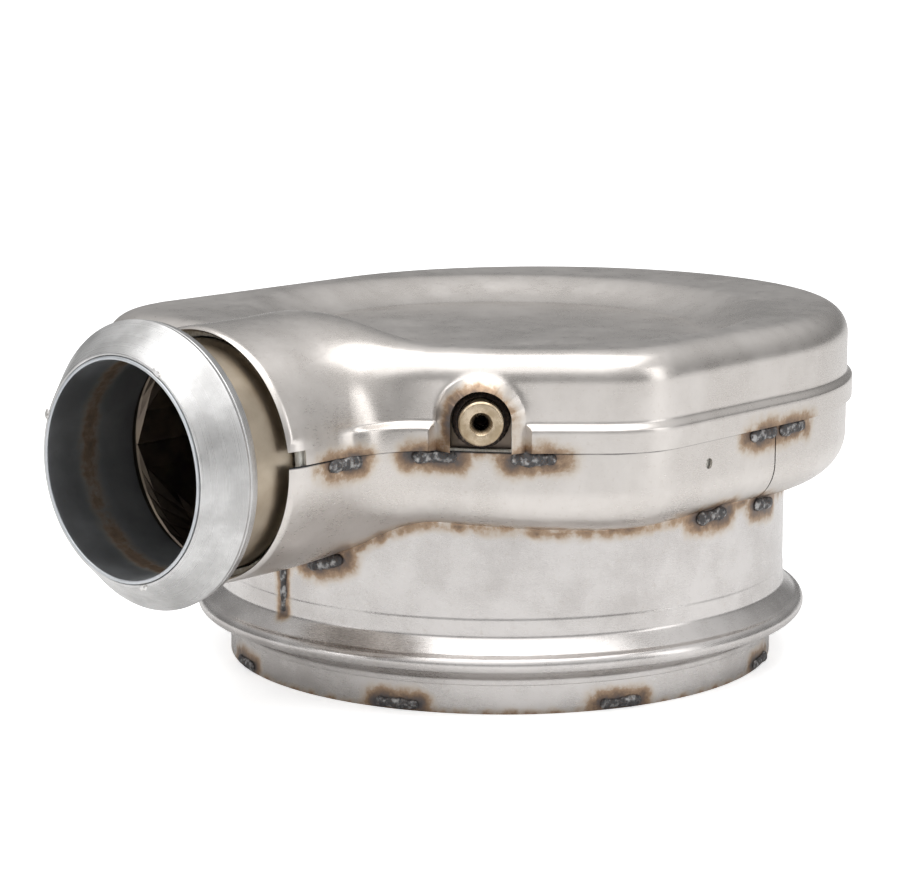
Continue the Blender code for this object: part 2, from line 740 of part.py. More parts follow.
def sensor_boss(boss_finish, weld_finish):
    frame = front_frame(0.0)
    out = Vector((FRONT_NORMAL[0], FRONT_NORMAL[1], 0.0))
    foot = -CHAMBER_INSET + FIT
    profile = [
        (BOSS_BORE_RADIUS, foot),
        (BOSS_RADIUS, foot),
        (BOSS_RADIUS, BOSS_PROUD - BOSS_EDGE),
        (BOSS_RADIUS - BOSS_EDGE, BOSS_PROUD),
        (BOSS_MOUTH_RADIUS, BOSS_PROUD),
        (BOSS_BORE_RADIUS, BOSS_PROUD - BOSS_MOUTH_DEPTH),
    ]
    turned("sensor_boss", profile, boss_finish, frame.translation, out, 32)
    inner = BOSS_RADIUS + WELD_GAP
    ring = [
        (inner, foot),
        (inner + BOSS_WELD_WIDTH, foot),
        (inner + BOSS_WELD_WIDTH * 0.75, foot + BOSS_WELD_HEIGHT * 0.6),
        (inner, foot + BOSS_WELD_HEIGHT),
    ]
    turned("boss_weld", ring, weld_finish, frame.translation, out, 28)


# Welds


def weld_bead(name, path, outward, width, height, finish, sides=6):
    """A short bead along a path: a flat back on the work, a round crown, and closed tapered ends."""
    points = []
    count = len(path)
    for index, place in enumerate(path):
        along = (path[min(index + 1, count - 1)] - path[max(index - 1, 0)]).normalized()
        out = outward[index] if isinstance(outward, list) else outward
        across = along.cross(out).normalized()
        swell = 0.45 if index in (0, count - 1) else 1.0
        for k in range(sides):
            turn = math.pi * k / (sides - 1)
            points.append(place + across * math.cos(turn) * width / 2 * swell
                          + out * math.sin(turn) * height * swell)
    faces = [tuple(range(sides)), tuple((count - 1) * sides + k for k in range(sides))]
    for index in range(count - 1):
        for k in range(sides):
            n = (k + 1) % sides
            here = index * sides
            faces.append((here + k, here + n, here + sides + n, here + sides + k))
    return add_object(name, mesh_from(name, points, faces), finish, True)


def stations_on_wall(degrees, length, z, level):
    """Points along the wall, centred on a direction from the can axis and spread by true length."""
    angles = np.radians(degrees + np.linspace(-25.0, 25.0, 501))
    wall = SHIELD_OPEN.outline_at(angles, z, level)
    steps = np.hypot(*np.diff(wall[:, :2], axis=0).T)
    run = np.concatenate([[0.0], np.cumsum(steps)])
    places = run[250] + length * np.array(BEAD_STATIONS)
    return np.stack([np.interp(places, run, wall[:, k]) for k in range(3)], axis=-1)


def seam_stitches(finish):
    """Stitches under the edge of the lip, on the wall of the lower shells."""
    z = LIP_Z - STITCH_WIDTH / 2 - WELD_GAP
    for index, degrees in enumerate(STITCH_ANGLES):
        wall = stations_on_wall(degrees, STITCH_LENGTH, z, WELD_GAP + 0.0002)
        normals = SHIELD_OPEN.normal(wall)
        path = [CAN_AXIS + Vector(point) for point in wall]
        outward = [Vector((n[0], n[1], 0.0)).normalized() for n in normals]
        weld_bead(f"seam_stitch_{index + 1:02d}", path, outward, STITCH_WIDTH, STITCH_HEIGHT, finish)


def can_welds(finish):
    """Stitches in the corner between the lower shells and the can."""
    for index, degrees in enumerate(CAN_WELD_ANGLES):
        stations = math.radians(degrees) + STITCH_LENGTH / CAN_RADIUS * np.array(BEAD_STATIONS)
        feeler = CAN_RADIUS
        count = len(stations)
        starts = np.stack(
            [feeler * np.cos(stations), feeler * np.sin(stations), np.full(count, INLET_Z)], axis=-1
        )
        under = SHIELD_OPEN.along(starts, np.tile([0.0, 0.0, -1.0], (count, 1)), 0.0, reach=0.12)
        path = []
        outward = []
        for station, point in zip(stations, under):
            out = Vector((math.cos(station), math.sin(station), 0.0))
            place = CAN_AXIS + out * (CAN_RADIUS + WELD_GAP)
            place.z = point[2] - STITCH_WIDTH / 2 - WELD_GAP * 2
            path.append(place)
            outward.append(out)
        weld_bead(f"can_weld_{index + 1}", path, outward, STITCH_WIDTH, STITCH_HEIGHT, finish)


def rim_welds(finish):
    """Stitches along the bottom edge of the pilot ring."""
    for index in range(RIM_WELD_COUNT):
        middle = math.radians(RIM_WELD_START + 360.0 / RIM_WELD_COUNT * index)
        path = []
        outward = []
        for share in BEAD_STATIONS:
            turn = middle + RIM_WELD_LENGTH / PILOT_RADIUS * share
            out = Vector((math.cos(turn), math.sin(turn), 0.0))
            place = CAN_AXIS + out * (PILOT_RADIUS + WELD_GAP)
            place.z = STITCH_WIDTH / 2 + WELD_GAP
            path.append(place)
            outward.append(out)
        weld_bead(f"rim_weld_{index + 1}", path, outward, STITCH_WIDTH, 0.0018, finish)


def can_seam(finish):
    """The long weld of the rolled can, between the bead and the heat shield."""
    turn = math.radians(CAN_SEAM_ANGLE)
    out = Vector((math.cos(turn), math.sin(turn), 0.0))
    low = BEAD_Z + BEAD_HALF_HEIGHT + 0.004
    feeler = Vector((out.x, out.y, 0.0)) * (CAN_RADIUS + 0.002)
    start = np.array([[feeler.x, feeler.y, INLET_Z]])
    high = SHIELD_OPEN.along(start, np.array([[0.0, 0.0, -1.0]]), 0.0, reach=0.12)[0][2] - 0.001
    path = []
    for share in (0.0, 0.06, 0.94, 1.0):
        place = CAN_AXIS + out * (CAN_RADIUS + WELD_GAP)
        place.z = low + (high - low) * share
        path.append(place)
    weld_bead("can_seam_weld", path, out, CAN_SEAM_WIDTH, CAN_SEAM_HEIGHT, finish)


def build():
    clear_scene()
    shield_steel = material("shield_steel", (0.56, 0.54, 0.51), 0.34, 1.0)
    can_steel = material("can_steel", (0.50, 0.47, 0.44), 0.38, 1.0)
    pipe_steel = material("pipe_steel", (0.46, 0.40, 0.33), 0.36, 1.0)
    machined_steel = material("machined_steel", (0.66, 0.66, 0.67), 0.24, 1.0)
    weld_metal = material("weld_metal", (0.10, 0.085, 0.075), 0.55, 0.8)
    boss_metal = material("boss_metal", (0.50, 0.40, 0.25), 0.30, 1.0)
    fibre = material("fibre_blanket", (0.82, 0.80, 0.75), 0.95, 0.0)
    mat_fibre = material("mat_fibre", (0.62, 0.57, 0.48), 0.95, 0.0)
    ceramic = material("ceramic_brick", (0.42, 0.35, 0.28), 0.90, 0.0)

    shield_upper(shield_steel)
    lower_shield_piece("shield_lower_front", False, shield_steel)
    lower_shield_piece("shield_lower_rear", True, shield_steel)
    insulation_upper(fibre)
    insulation_lower(fibre)
    inner_head_upper(can_steel)
    inner_head_lower(can_steel)
    can_body(can_steel)
    pilot_ring(can_steel)
    brick_stack(can_steel, mat_fibre, ceramic)
    inlet_parts(pipe_steel, machined_steel, weld_metal)
    sensor_boss(boss_metal, weld_metal)
    seam_stitches(weld_metal)
    can_welds(weld_metal)
    rim_welds(weld_metal)
    can_seam(weld_metal)


build()
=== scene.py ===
import math

import bmesh
import bpy
import numpy as np
from mathutils import Matrix, Vector, noise


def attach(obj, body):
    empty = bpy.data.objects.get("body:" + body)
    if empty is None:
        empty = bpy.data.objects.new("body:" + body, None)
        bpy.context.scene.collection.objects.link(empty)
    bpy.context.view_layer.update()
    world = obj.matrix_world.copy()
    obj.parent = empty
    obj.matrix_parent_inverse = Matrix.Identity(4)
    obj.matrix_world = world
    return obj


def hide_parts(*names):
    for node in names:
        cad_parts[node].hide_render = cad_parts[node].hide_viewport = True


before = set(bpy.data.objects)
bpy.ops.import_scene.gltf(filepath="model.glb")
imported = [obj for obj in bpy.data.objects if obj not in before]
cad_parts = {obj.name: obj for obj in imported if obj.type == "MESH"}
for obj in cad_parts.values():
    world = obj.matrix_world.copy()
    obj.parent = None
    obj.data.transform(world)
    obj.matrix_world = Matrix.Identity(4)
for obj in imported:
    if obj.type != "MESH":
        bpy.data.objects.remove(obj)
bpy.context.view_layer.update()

# Units are metres. The sizes repeat those of the CAD source, so that each piece lies in its node.

# Sheet and fits
SHEET = 0.0015
WELD_GAP = 0.0003
FIT = 0.0003
SOFT_GAP = 0.0009

# Can and what it holds
CAN_RADIUS = 0.1725
BEAD_RADIUS = 0.1851
BEAD_Z = 0.0325
BEAD_HALF_HEIGHT = 0.011
BEAD_CROWN = 0.0052
BEAD_SHOULDER_IN = 0.9 * BEAD_CROWN
BEAD_SHOULDER_RISE = 0.95 * BEAD_CROWN
BEAD_FOOT_DROP = 0.001
BEAD_FOOT_OUT = 0.003
BEAD_FOOT_RISE = 0.0012
BEAD_NECK_OUT = 0.0028
BEAD_NECK_DROP = 0.0008
BEAD_NECK_RISE = 0.0025
CAN_TOP_Z = 0.121
CAN_SKIRT_Z = 0.017
PILOT_RADIUS = 0.16515
PILOT_TOP_Z = 0.030
CAN_STEP_Z = 0.057
CAN_STEP_HEIGHT = 0.0012
CAN_STEP_DEPTH = 0.00025
BEAD_CROWN_TURNS = (-55.0, -35.0, -15.0, 0.0, 15.0, 35.0, 55.0)

# Body of the heat shield
BODY_HALF_WIDTH = 0.1835
REAR_CENTRE_Y = 0.044
FRONT_WALL_DISTANCE = 0.188
FRONT_WALL_TURN = math.radians(42.0)
END_WALL_DISTANCE = 0.178
FRONT_BLEND = 0.020
END_BLEND = 0.054
TOP_Z = 0.208
BOTTOM_Z = 0.1055
TOP_CORNER_RADIUS = 0.017
BOTTOM_CORNER_RADIUS = 0.026
RIDGE_RADIUS = 0.158
RECESS_RADIUS = 0.121
RECESS_DEPTH = 0.013
RECESS_CROWN = 0.0012
RECESS_CROWN_SHAPE = 1.35
GROOVE_DEPTH = 0.0007
GROOVE_WIDTH = 0.0035

# Inlet tunnel
INLET_Z = 0.1515
TUNNEL_RADIUS = 0.07075
TUNNEL_END_Y = -0.2509
TUNNEL_CURL = 0.0055
TUNNEL_FALL_Y = -0.200
TUNNEL_FALL_RATE = 0.72
TUNNEL_BLEND = 0.034
COLLAR_NOTCH_DEPTH = 0.013
COLLAR_NOTCH_RISE = 0.008

# Joggled lip, seam and split
LIP_Z = 0.1537
LIP_HEIGHT = 0.0118
LIP_STEP_HEIGHT = 0.0045
LIP_PROUD = 0.0033
SEAM_TUCK = 0.0083
TUCK_MARGIN = 0.028
SEAM_GAP = 0.0004
LOWER_SPLIT_Y = 0.029
LOWER_SPLIT_GAP = 0.0010
PAN_OPENING_RADIUS = 0.150
BLANKET_DROP = 0.0037
VENT_HOLE_RADIUS = 0.0030
VENT_HOLE_Y = -0.034
VENT_HOLE_Z = 0.140

# Inlet pipe, liner and flange, stations measured inward from the mouth
MOUTH_DISTANCE = 0.3067
CHAMBER_END_Y = -0.240
PIPE_RADIUS = 0.0635
PIPE_SHEET = 0.0020
LINER_BORE_RADIUS = 0.059
LINER_SHEET = 0.0020
LINER_LENGTH = 0.062
FLANGE_NOSE_STATION = 0.0008
FLANGE_NOSE_RADIUS = 0.0627
FLANGE_SHOULDER_STATION = 0.0191
FLANGE_SHOULDER_RADIUS = 0.07855
FLANGE_BACK_STATION = 0.0271
FLANGE_BACK_RADIUS = 0.0772
FLANGE_SEAT_STATION = 0.0125
FLANGE_GROOVE_DEPTH = 0.0006
FLANGE_GROOVE_START = 0.0016
FLANGE_GROOVE_END = 0.0024
FLANGE_EDGE = 0.0006
FLANGE_WELD_LENGTH = 0.0055
FLANGE_WELD_HEIGHT = 0.0038

# Sensor boss and its arch
BOSS_ALONG_WALL = -0.014
BOSS_Z = 0.171
BOSS_RADIUS = 0.0122
BOSS_BORE_RADIUS = 0.0036
BOSS_MOUTH_RADIUS = 0.0064
BOSS_MOUTH_DEPTH = 0.0035
BOSS_PROUD = 0.0095
BOSS_EDGE = 0.0010
BOSS_WELD_WIDTH = 0.0036
BOSS_WELD_HEIGHT = 0.0042
CHAMBER_INSET = 0.0072
ARCH_RADIUS = 0.0235
ARCH_PROUD = 0.0068
ARCH_EDGE = 0.0040
ARCH_ROOT = 0.02
ARCH_OPENING_RADIUS = 0.0167
ARCH_BLEND = 0.0035

# Welds
STITCH_LENGTH = 0.025
STITCH_WIDTH = 0.0068
STITCH_HEIGHT = 0.0021
STITCH_ANGLES = (-71.2, -60.3, -43.5, 5.2, 13.8, 50.0, 90.0, 130.0, 166.0, 176.0, 215.0)
CAN_WELD_ANGLES = (-5.0, 13.5, -84.0, 90.0, 185.0, 167.0)
RIM_WELD_COUNT = 8
RIM_WELD_START = -69.5
RIM_WELD_LENGTH = 0.026
RIM_WELD_WIDTH = 0.0052
RIM_WELD_HEIGHT = 0.0018
CAN_SEAM_ANGLE = -95.0
CAN_SEAM_WIDTH = 0.0045
CAN_SEAM_HEIGHT = 0.0009
LINER_TACK_ANGLES = (62.0, 158.0, 285.0)
LINER_TACK_SIZE = 0.0035

# Mesh density of the dressed pieces
PLAN_POINTS = 300
PLAN_SAMPLES = 3000
PLAN_LENGTH = 0.040
PLAN_TURN = math.radians(9.0)
ARCH_POINTS = 72
ROUND_SEGMENTS = 256
FRONT_START_X = 0.04
BESIDE_BOSS = 0.032
BOSS_CROWDING = 2.5
BEAD_STEP = 0.0005
TURNED_LENGTH = 0.004
TURNED_FINE_LENGTH = 0.003
RING_LENGTH = 0.0006

# Radii of the small roundings
CAN_ROUNDING = 0.0012
TUBE_ROUNDING = 0.0005
LINER_ROUNDING = 0.0007
FLANGE_ROUNDING = 0.0004
BOSS_ROUNDING = 0.0003
RING_ROUNDING = 0.0008

# How far rings of the shells run in from the end of the tunnel
LIP_RUN = 0.0018
JOGGLE_RUN = TUNNEL_CURL - 0.0008
WALL_RUN_START = 0.0065
WALL_RUN = 0.0095
CROWN_RUN_START = 0.016
PAN_RUN = TUNNEL_CURL + 0.001
PAN_RUN_START = 0.012
CORNER_RUN = 0.020
CORNER_SWEEP = math.radians(88.0)

# Where the lip fades out at the tunnel and at the arch
FADE_SIDE_REACH = 0.041
FADE_SIDE_LENGTH = 0.028
FADE_START = 0.004
FADE_LENGTH = 0.016
ARCH_FADE_INSET = 0.0005
ARCH_FADE_LENGTH = 0.0025

# Reach of the cutters past what they cut
CUT_IN = 0.01
CUT_OUT = 0.03
CUT_BELOW = 0.02
CUT_SIDE = 0.4
CUT_LENGTH = 0.5
CUT_HEIGHT = 0.3
CUT_AHEAD = 0.1
CUT_BESIDE = 0.2
CAN_CUT_BOTTOM = 0.05
CAN_CUT_TOP = 0.135
VENT_CUT_START = 0.15
VENT_CUT_END = 0.25
SKIN_REACH = 0.12
TUNNEL_OVERRUN = 0.05

# Halos of heat colour about the welds
STITCH_HALO = 0.0085
RIM_HALO = 0.0075
SEAM_HALO = 0.0050
TACK_HALO = 0.0030
TACK_TINT = 0.35
FLANGE_HALO = 0.0060
BOSS_HALO = 0.0055
UNDER_HALO = 0.0050
BOTTOM_HALO = 0.0040
UNDER_TINT = 0.62
BOTTOM_TINT = 0.50
# Painted shade inside the liner and the pipe
LINER_PAINTED_SHADE = 0.45
PIPE_PAINTED_SHADE = 0.75
# Painted shadow line along the seam under the lip
SEAM_LINE_HEIGHT = 0.0012
SEAM_LINE_WANDER = 0.0009
RIPPLE_LENGTH = 0.0022
HALO_SHAPE = 1.3

# Lumps of the welds, in marks per metre and as shares of their size
WANDER_SCALE = 230.0
WANDER_PLACE = Vector((7.3, 1.1, 2.9))
LUMP_SCALE = 900.0
RING_LUMP_SCALE = 420.0
FLANGE_WELD_LUMPS = 0.0009
BOSS_WELD_LUMPS = 0.0006

# Texture scales, in marks per metre
CLOUD_SCALE = 11.0
BLOTCH_SCALE = 48.0
FINE_SCALE = 420.0
RAGGED_SCALE = 150.0
BRUSH_SCALE = 260.0
TURNING_SCALE = 2600.0
WELD_PATCH_SCALE = 260.0
WELD_GRAIN_SCALE = 1500.0
BOSS_CLOUD_SCALE = 110.0
FIBRE_SCALE = 700.0
FIBRE_LUMP_SCALE = 60.0
CELL_PITCH = 0.00127

# Brushing, roughness and relief
SHIELD_BRUSH = (1.0, 1.0, 6.0)
CAN_BRUSH = (1.0, 1.0, 14.0)
TUBE_BRUSH = (3.0, 14.0, 3.0)
CHAMBER_BRUSH = (1.0, 1.0, 5.0)
SHIELD_ROUGH = 0.30
CAN_ROUGH = 0.27
TUBE_ROUGH = 0.33
LINER_ROUGH = 0.44
CHAMBER_ROUGH = 0.42
TUBE_TINT = 1.15
STEEL_RELIEF = 0.00003
TURNED_RELIEF = 0.00004
WELD_RELIEF = 0.00035
FIBRE_RELIEF = 0.0006
CELL_RELIEF = 0.0008

# Colours
SHIELD_PALE = (0.70, 0.665, 0.635)
SHIELD_DEEP = (0.585, 0.55, 0.52)
CAN_PALE = (0.65, 0.625, 0.61)
CAN_DEEP = (0.49, 0.465, 0.45)
TUBE_PALE = (0.50, 0.43, 0.34)
TUBE_DEEP = (0.33, 0.27, 0.20)
INNER_DEEP = (0.16, 0.13, 0.11)
LINER_PALE = (0.64, 0.66, 0.68)
LINER_DEEP = (0.46, 0.48, 0.50)
STAIN_COLOUR = (0.34, 0.26, 0.17)
# Painted shade: the dark line under the lip of the pans, and the inner faces of the liner and the pipe
PAINTED_SHADE_COLOUR = (0.035, 0.036, 0.042)
RUST_COLOUR = (0.22, 0.11, 0.05)
WELD_DARK = (0.085, 0.085, 0.088)
WELD_LUMP = (0.42, 0.42, 0.42)
FLANGE_WELD_DARK = (0.10, 0.085, 0.070)
FLANGE_WELD_LUMP = (0.45, 0.42, 0.38)
TACK_DARK = (0.30, 0.29, 0.28)
TACK_LUMP = (0.80, 0.79, 0.78)
BOSS_WELD_DARK = (0.030, 0.024, 0.022)
BOSS_WELD_LUMP = (0.20, 0.17, 0.14)
BOSS_DEEP = (0.42, 0.33, 0.22)
BOSS_PALE = (0.66, 0.55, 0.41)
# Painted shade in the bore of the boss
BOSS_HOLE_SHADE = (0.012, 0.010, 0.010)
TURNED_DEEP = (0.50, 0.495, 0.49)
TURNED_PALE = (0.66, 0.655, 0.65)
BLANKET_PALE = (0.86, 0.85, 0.80)
BLANKET_DEEP = (0.66, 0.63, 0.56)
MAT_PALE = (0.66, 0.60, 0.50)
MAT_DEEP = (0.44, 0.38, 0.30)
COATING_DEEP = (0.30, 0.24, 0.18)
COATING_PALE = (0.46, 0.39, 0.31)
# Painted shade in the open cells of the honeycomb
CELL_SHADE = (0.030, 0.024, 0.020)
FLOOR_DEEP = (0.86, 0.86, 0.86)
FLOOR_PALE = (0.88, 0.88, 0.88)
WHITE = (1.0, 1.0, 1.0)
HEAT_STOPS = (
    (0.00, (0.62, 0.56, 0.49)),
    (0.22, (0.56, 0.46, 0.34)),
    (0.40, (0.38, 0.26, 0.165)),
    (0.60, (0.20, 0.13, 0.085)),
    (0.80, (0.10, 0.075, 0.065)),
    (1.00, (0.045, 0.040, 0.040)),
)

# Light
ROOM_STOPS = ((0.00, 0.50), (0.10, 0.36), (0.38, 0.55), (0.70, 1.00), (1.00, 0.92))
ROOM_TURN = 0.9
BACK_OF_ROOM = 0.92
FRONT_OF_ROOM = 1.25
ROOM_STRENGTH = 0.78
TOP_POWER = 9.5
LEFT_POWER = 4.6
RIGHT_POWER = 3.4
FILL_POWER = 0.85
FLOOR_GLOW = 0.55
FLOOR_REACH = 12.0

# Camera, solved from the photograph
CAMERA_AZIMUTH = math.radians(42.0)
CAMERA_ELEVATION = math.radians(10.61)
CAMERA_DISTANCE = 1.7177
CAMERA_AIM = Vector((-0.0228, -0.0205, 0.1216))
CAMERA_LENS = 112.71
SENSOR_WIDTH = 36.0

# Places worked out from the values above
CAN_Y = (MOUTH_DISTANCE - REAR_CENTRE_Y - BODY_HALF_WIDTH - LIP_PROUD) / 2
CAN_AXIS = Vector((0.0, CAN_Y, 0.0))
MOUTH_CENTRE = Vector((0.0, CAN_Y - MOUTH_DISTANCE, INLET_Z))
FRONT_NORMAL = (math.sin(FRONT_WALL_TURN), -math.cos(FRONT_WALL_TURN), 0.0)
FRONT_ALONG = (math.cos(FRONT_WALL_TURN), math.sin(FRONT_WALL_TURN), 0.0)
CAMERA_RIGHT = Vector((math.cos(CAMERA_AZIMUTH), math.sin(CAMERA_AZIMUTH), 0.0))
TOWARD_CAMERA = Vector((math.sin(CAMERA_AZIMUTH), -math.cos(CAMERA_AZIMUTH), 0.0))
UP = (0, 0, 1)
INWARD = (0, 1, 0)

# The form of the stamped shells, as a distance to their surface in the can's own frame


def smooth_min(a, b, blend):
    overlap = np.maximum(blend - np.abs(a - b), 0.0) / blend
    return np.minimum(a, b) - overlap * overlap * blend / 4


def smooth_max(a, b, blend):
    return -smooth_min(-a, -b, blend)


def rounded_corner(a, b, radius):
    outside = np.hypot(np.maximum(a + radius, 0.0), np.maximum(b + radius, 0.0))
    return outside + np.minimum(np.maximum(a + radius, b + radius), 0.0) - radius


def ease(share):
    share = np.clip(share, 0.0, 1.0)
    return share * share * (3.0 - 2.0 * share)


def along_front(x, y):
    """Distance along the front wall from the sensor boss."""
    return FRONT_ALONG[0] * x + FRONT_ALONG[1] * y - BOSS_ALONG_WALL


def beyond_front(x, y):
    """Distance out from the front wall."""
    return FRONT_NORMAL[0] * x + FRONT_NORMAL[1] * y - FRONT_WALL_DISTANCE


def plan_distance(x, y):
    rear = np.hypot(x, np.maximum(y - REAR_CENTRE_Y, 0.0)) - BODY_HALF_WIDTH
    end = -y - END_WALL_DISTANCE
    return smooth_max(smooth_max(rear, beyond_front(x, y), FRONT_BLEND), end, END_BLEND)


def top_height(x, y):
    from_axis = np.hypot(x, y)
    reach = ease((RIDGE_RADIUS - from_axis) / (RIDGE_RADIUS - RECESS_RADIUS))
    inward = np.clip(1.0 - (from_axis / RECESS_RADIUS) ** RECESS_CROWN_SHAPE, 0.0, 1.0)
    groove = np.exp(-((from_axis - RECESS_RADIUS) / GROOVE_WIDTH) ** 2)
    return TOP_Z - RECESS_DEPTH * reach + RECESS_CROWN * inward - GROOVE_DEPTH * groove


def body_distance(x, y, z, inset):
    wall = plan_distance(x, y) + inset
    above = rounded_corner(wall, z - top_height(x, y) + inset, TOP_CORNER_RADIUS - inset)
    below = rounded_corner(wall, BOTTOM_Z - z + inset, BOTTOM_CORNER_RADIUS - inset)
    return np.where(z > LIP_Z, above, below)


def tunnel_distance(x, y, z, radius, end_y, curl):
    fall = TUNNEL_FALL_RATE * np.maximum(y - TUNNEL_FALL_Y, 0.0)
    around = np.sqrt(x * x + (z - INLET_Z) ** 2 + fall * fall) - radius
    return rounded_corner(around, end_y - y, curl)


def arch_distance(x, y, z):
    """The raised arch around the sensor boss, with rounded outer edges."""
    out = beyond_front(x, y)
    rise = np.maximum(z - BOSS_Z, 0.0)
    side = np.hypot(along_front(x, y), rise) - ARCH_RADIUS
    stamped = rounded_corner(side, out - ARCH_PROUD, ARCH_EDGE)
    return np.maximum(stamped, -out - ARCH_ROOT)


class Form:
    """One skin of the stamped shells: a body set in from the shield, and its inlet tunnel."""

    def __init__(self, inset, tunnel_radius, end_y, curl=0.0, arch=False):
        self.inset = inset
        self.curl = curl
        self.tunnel_radius = tunnel_radius
        self.end_y = end_y
        self.arch = arch

    def distance(self, points):
        x, y, z = points[..., 0], points[..., 1], points[..., 2]
        body = body_distance(x, y, z, self.inset)
        tunnel = tunnel_distance(x, y, z, self.tunnel_radius, self.end_y, self.curl)
        whole = smooth_min(body, tunnel, TUNNEL_BLEND)
        if self.arch:
            whole = smooth_min(whole, arch_distance(x, y, z), ARCH_BLEND)
        return whole

    def normal(self, points):
        step = 1e-5
        slopes = []
        for axis in range(3):
            shift = np.zeros(3)
            shift[axis] = step
            slopes.append((self.distance(points + shift) - self.distance(points - shift)) / (2 * step))
        gradient = np.stack(slopes, axis=-1)
        return gradient / np.maximum(np.linalg.norm(gradient, axis=-1, keepdims=True), 1e-9)

    def nearest(self, points, level, rounds=14):
        placed = points.copy()
        for _ in range(rounds):
            miss = self.distance(placed) - level
            placed = placed - self.normal(placed) * miss[..., None]
        return placed

    def along(self, starts, directions, level, reach=0.4):
        near = np.zeros(len(starts))
        far = np.full(len(starts), reach)
        for _ in range(32):
            middle = (near + far) / 2
            inside = self.distance(starts + directions * middle[:, None]) < level
            near = np.where(inside, middle, near)
            far = np.where(inside, far, middle)
        return starts + directions * near[:, None]

    def outline_at(self, angles, z, level=0.0):
        starts = np.zeros((len(angles), 3))
        starts[:, 2] = z
        directions = np.stack([np.cos(angles), np.sin(angles), np.zeros(len(angles))], axis=-1)
        return self.along(starts, directions, level)


SHIELD = Form(0.0, TUNNEL_RADIUS, TUNNEL_END_Y, TUNNEL_CURL)
SHIELD_ARCHED = Form(0.0, TUNNEL_RADIUS, TUNNEL_END_Y, TUNNEL_CURL, arch=True)
SHIELD_OPEN = Form(0.0, TUNNEL_RADIUS, TUNNEL_END_Y - TUNNEL_OVERRUN)
BLANKET_OUTER = Form(SHEET + SOFT_GAP, TUNNEL_RADIUS - SHEET - SOFT_GAP, CHAMBER_END_Y)
BLANKET_INNER = Form(CHAMBER_INSET - SOFT_GAP, PIPE_RADIUS + SOFT_GAP, CHAMBER_END_Y)


def detail_angles(count):
    """Angles about the can axis, closer together where the plan turns and beside the boss."""
    first = math.atan2(TUNNEL_END_Y, TUNNEL_RADIUS)
    last = math.atan2(TUNNEL_END_Y, -TUNNEL_RADIUS) + 2 * math.pi
    fine = np.linspace(first, last, PLAN_SAMPLES)
    outline = SHIELD_OPEN.outline_at(fine, INLET_Z)
    steps = np.diff(outline[:, :2], axis=0)
    lengths = np.hypot(steps[:, 0], steps[:, 1])
    headings = np.unwrap(np.arctan2(steps[:, 1], steps[:, 0]))
    turns = np.abs(np.diff(headings, prepend=headings[0]))
    along = along_front(outline[1:, 0], outline[1:, 1])
    on_front = outline[1:, 0] > FRONT_START_X
    beside = np.exp(-((along / BESIDE_BOSS) ** 4)) * on_front
    measure = np.cumsum(lengths * (1.0 + BOSS_CROWDING * beside) / PLAN_LENGTH + turns / PLAN_TURN)
    measure = np.concatenate([[0.0], measure])
    return np.interp(np.linspace(0.0, measure[-1], count), measure, fine)


def tunnel_share(points, margin=0.0):
    """One on the inlet tunnel and nought on the body, with a smooth change between."""
    reach = TUNNEL_RADIUS + FADE_SIDE_REACH + margin
    beyond = (margin - FRONT_WALL_DISTANCE - FADE_START - points[:, 1]) / FADE_LENGTH
    beside = (reach - np.abs(points[:, 0])) / FADE_SIDE_LENGTH
    return ease(np.clip(beyond, 0.0, 1.0) * np.clip(beside, 0.0, 1.0))


def arch_share(points):
    """One where the arch stands prouder than the lip, nought beside it."""
    along = along_front(points[:, 0], points[:, 1])
    inside = ease((ARCH_RADIUS - ARCH_FADE_INSET - np.abs(along)) / ARCH_FADE_LENGTH)
    return inside * (points[:, 0] > ARCH_RADIUS)


# Rings of the shells


class Ring:
    """One ring of a shell: its height, how far in from the wall and the tunnel end, and its lip."""

    def __init__(self, z, inset, from_end, lip=0.0):
        self.z, self.inset, self.from_end, self.lip = z, inset, from_end, lip


def ring_points(form, ring, outline, normals, up):
    """Points of a ring: along the wall, then over the tunnel from its left side to its right."""
    guess = outline.copy()
    guess[:, :2] -= normals[:, :2] * ring.inset
    guess[:, 2] = ring.z
    begin = -FRONT_WALL_DISTANCE
    squeeze = (form.end_y + ring.from_end - begin) / (TUNNEL_END_Y - begin)
    on_tunnel = guess[:, 1] < begin
    guess[on_tunnel, 1] = begin + (guess[on_tunnel, 1] - begin) * squeeze
    rise = ring.z - INLET_Z
    side = math.atan2(rise, form.tunnel_radius - ring.inset)
    span = math.pi if up else -math.pi
    turn = np.linspace(span - side, side, ARCH_POINTS + 2)[1:-1]
    arch = np.stack(
        [
            form.tunnel_radius * np.cos(turn),
            np.full(ARCH_POINTS, form.end_y + ring.from_end),
            INLET_Z + form.tunnel_radius * np.sin(turn),
        ],
        axis=-1,
    )
    lip = ring.lip * (1.0 - tunnel_share(guess)) * (1.0 - arch_share(guess))
    levels = np.concatenate([lip, np.zeros(ARCH_POINTS)])
    return np.concatenate([guess, arch]), levels


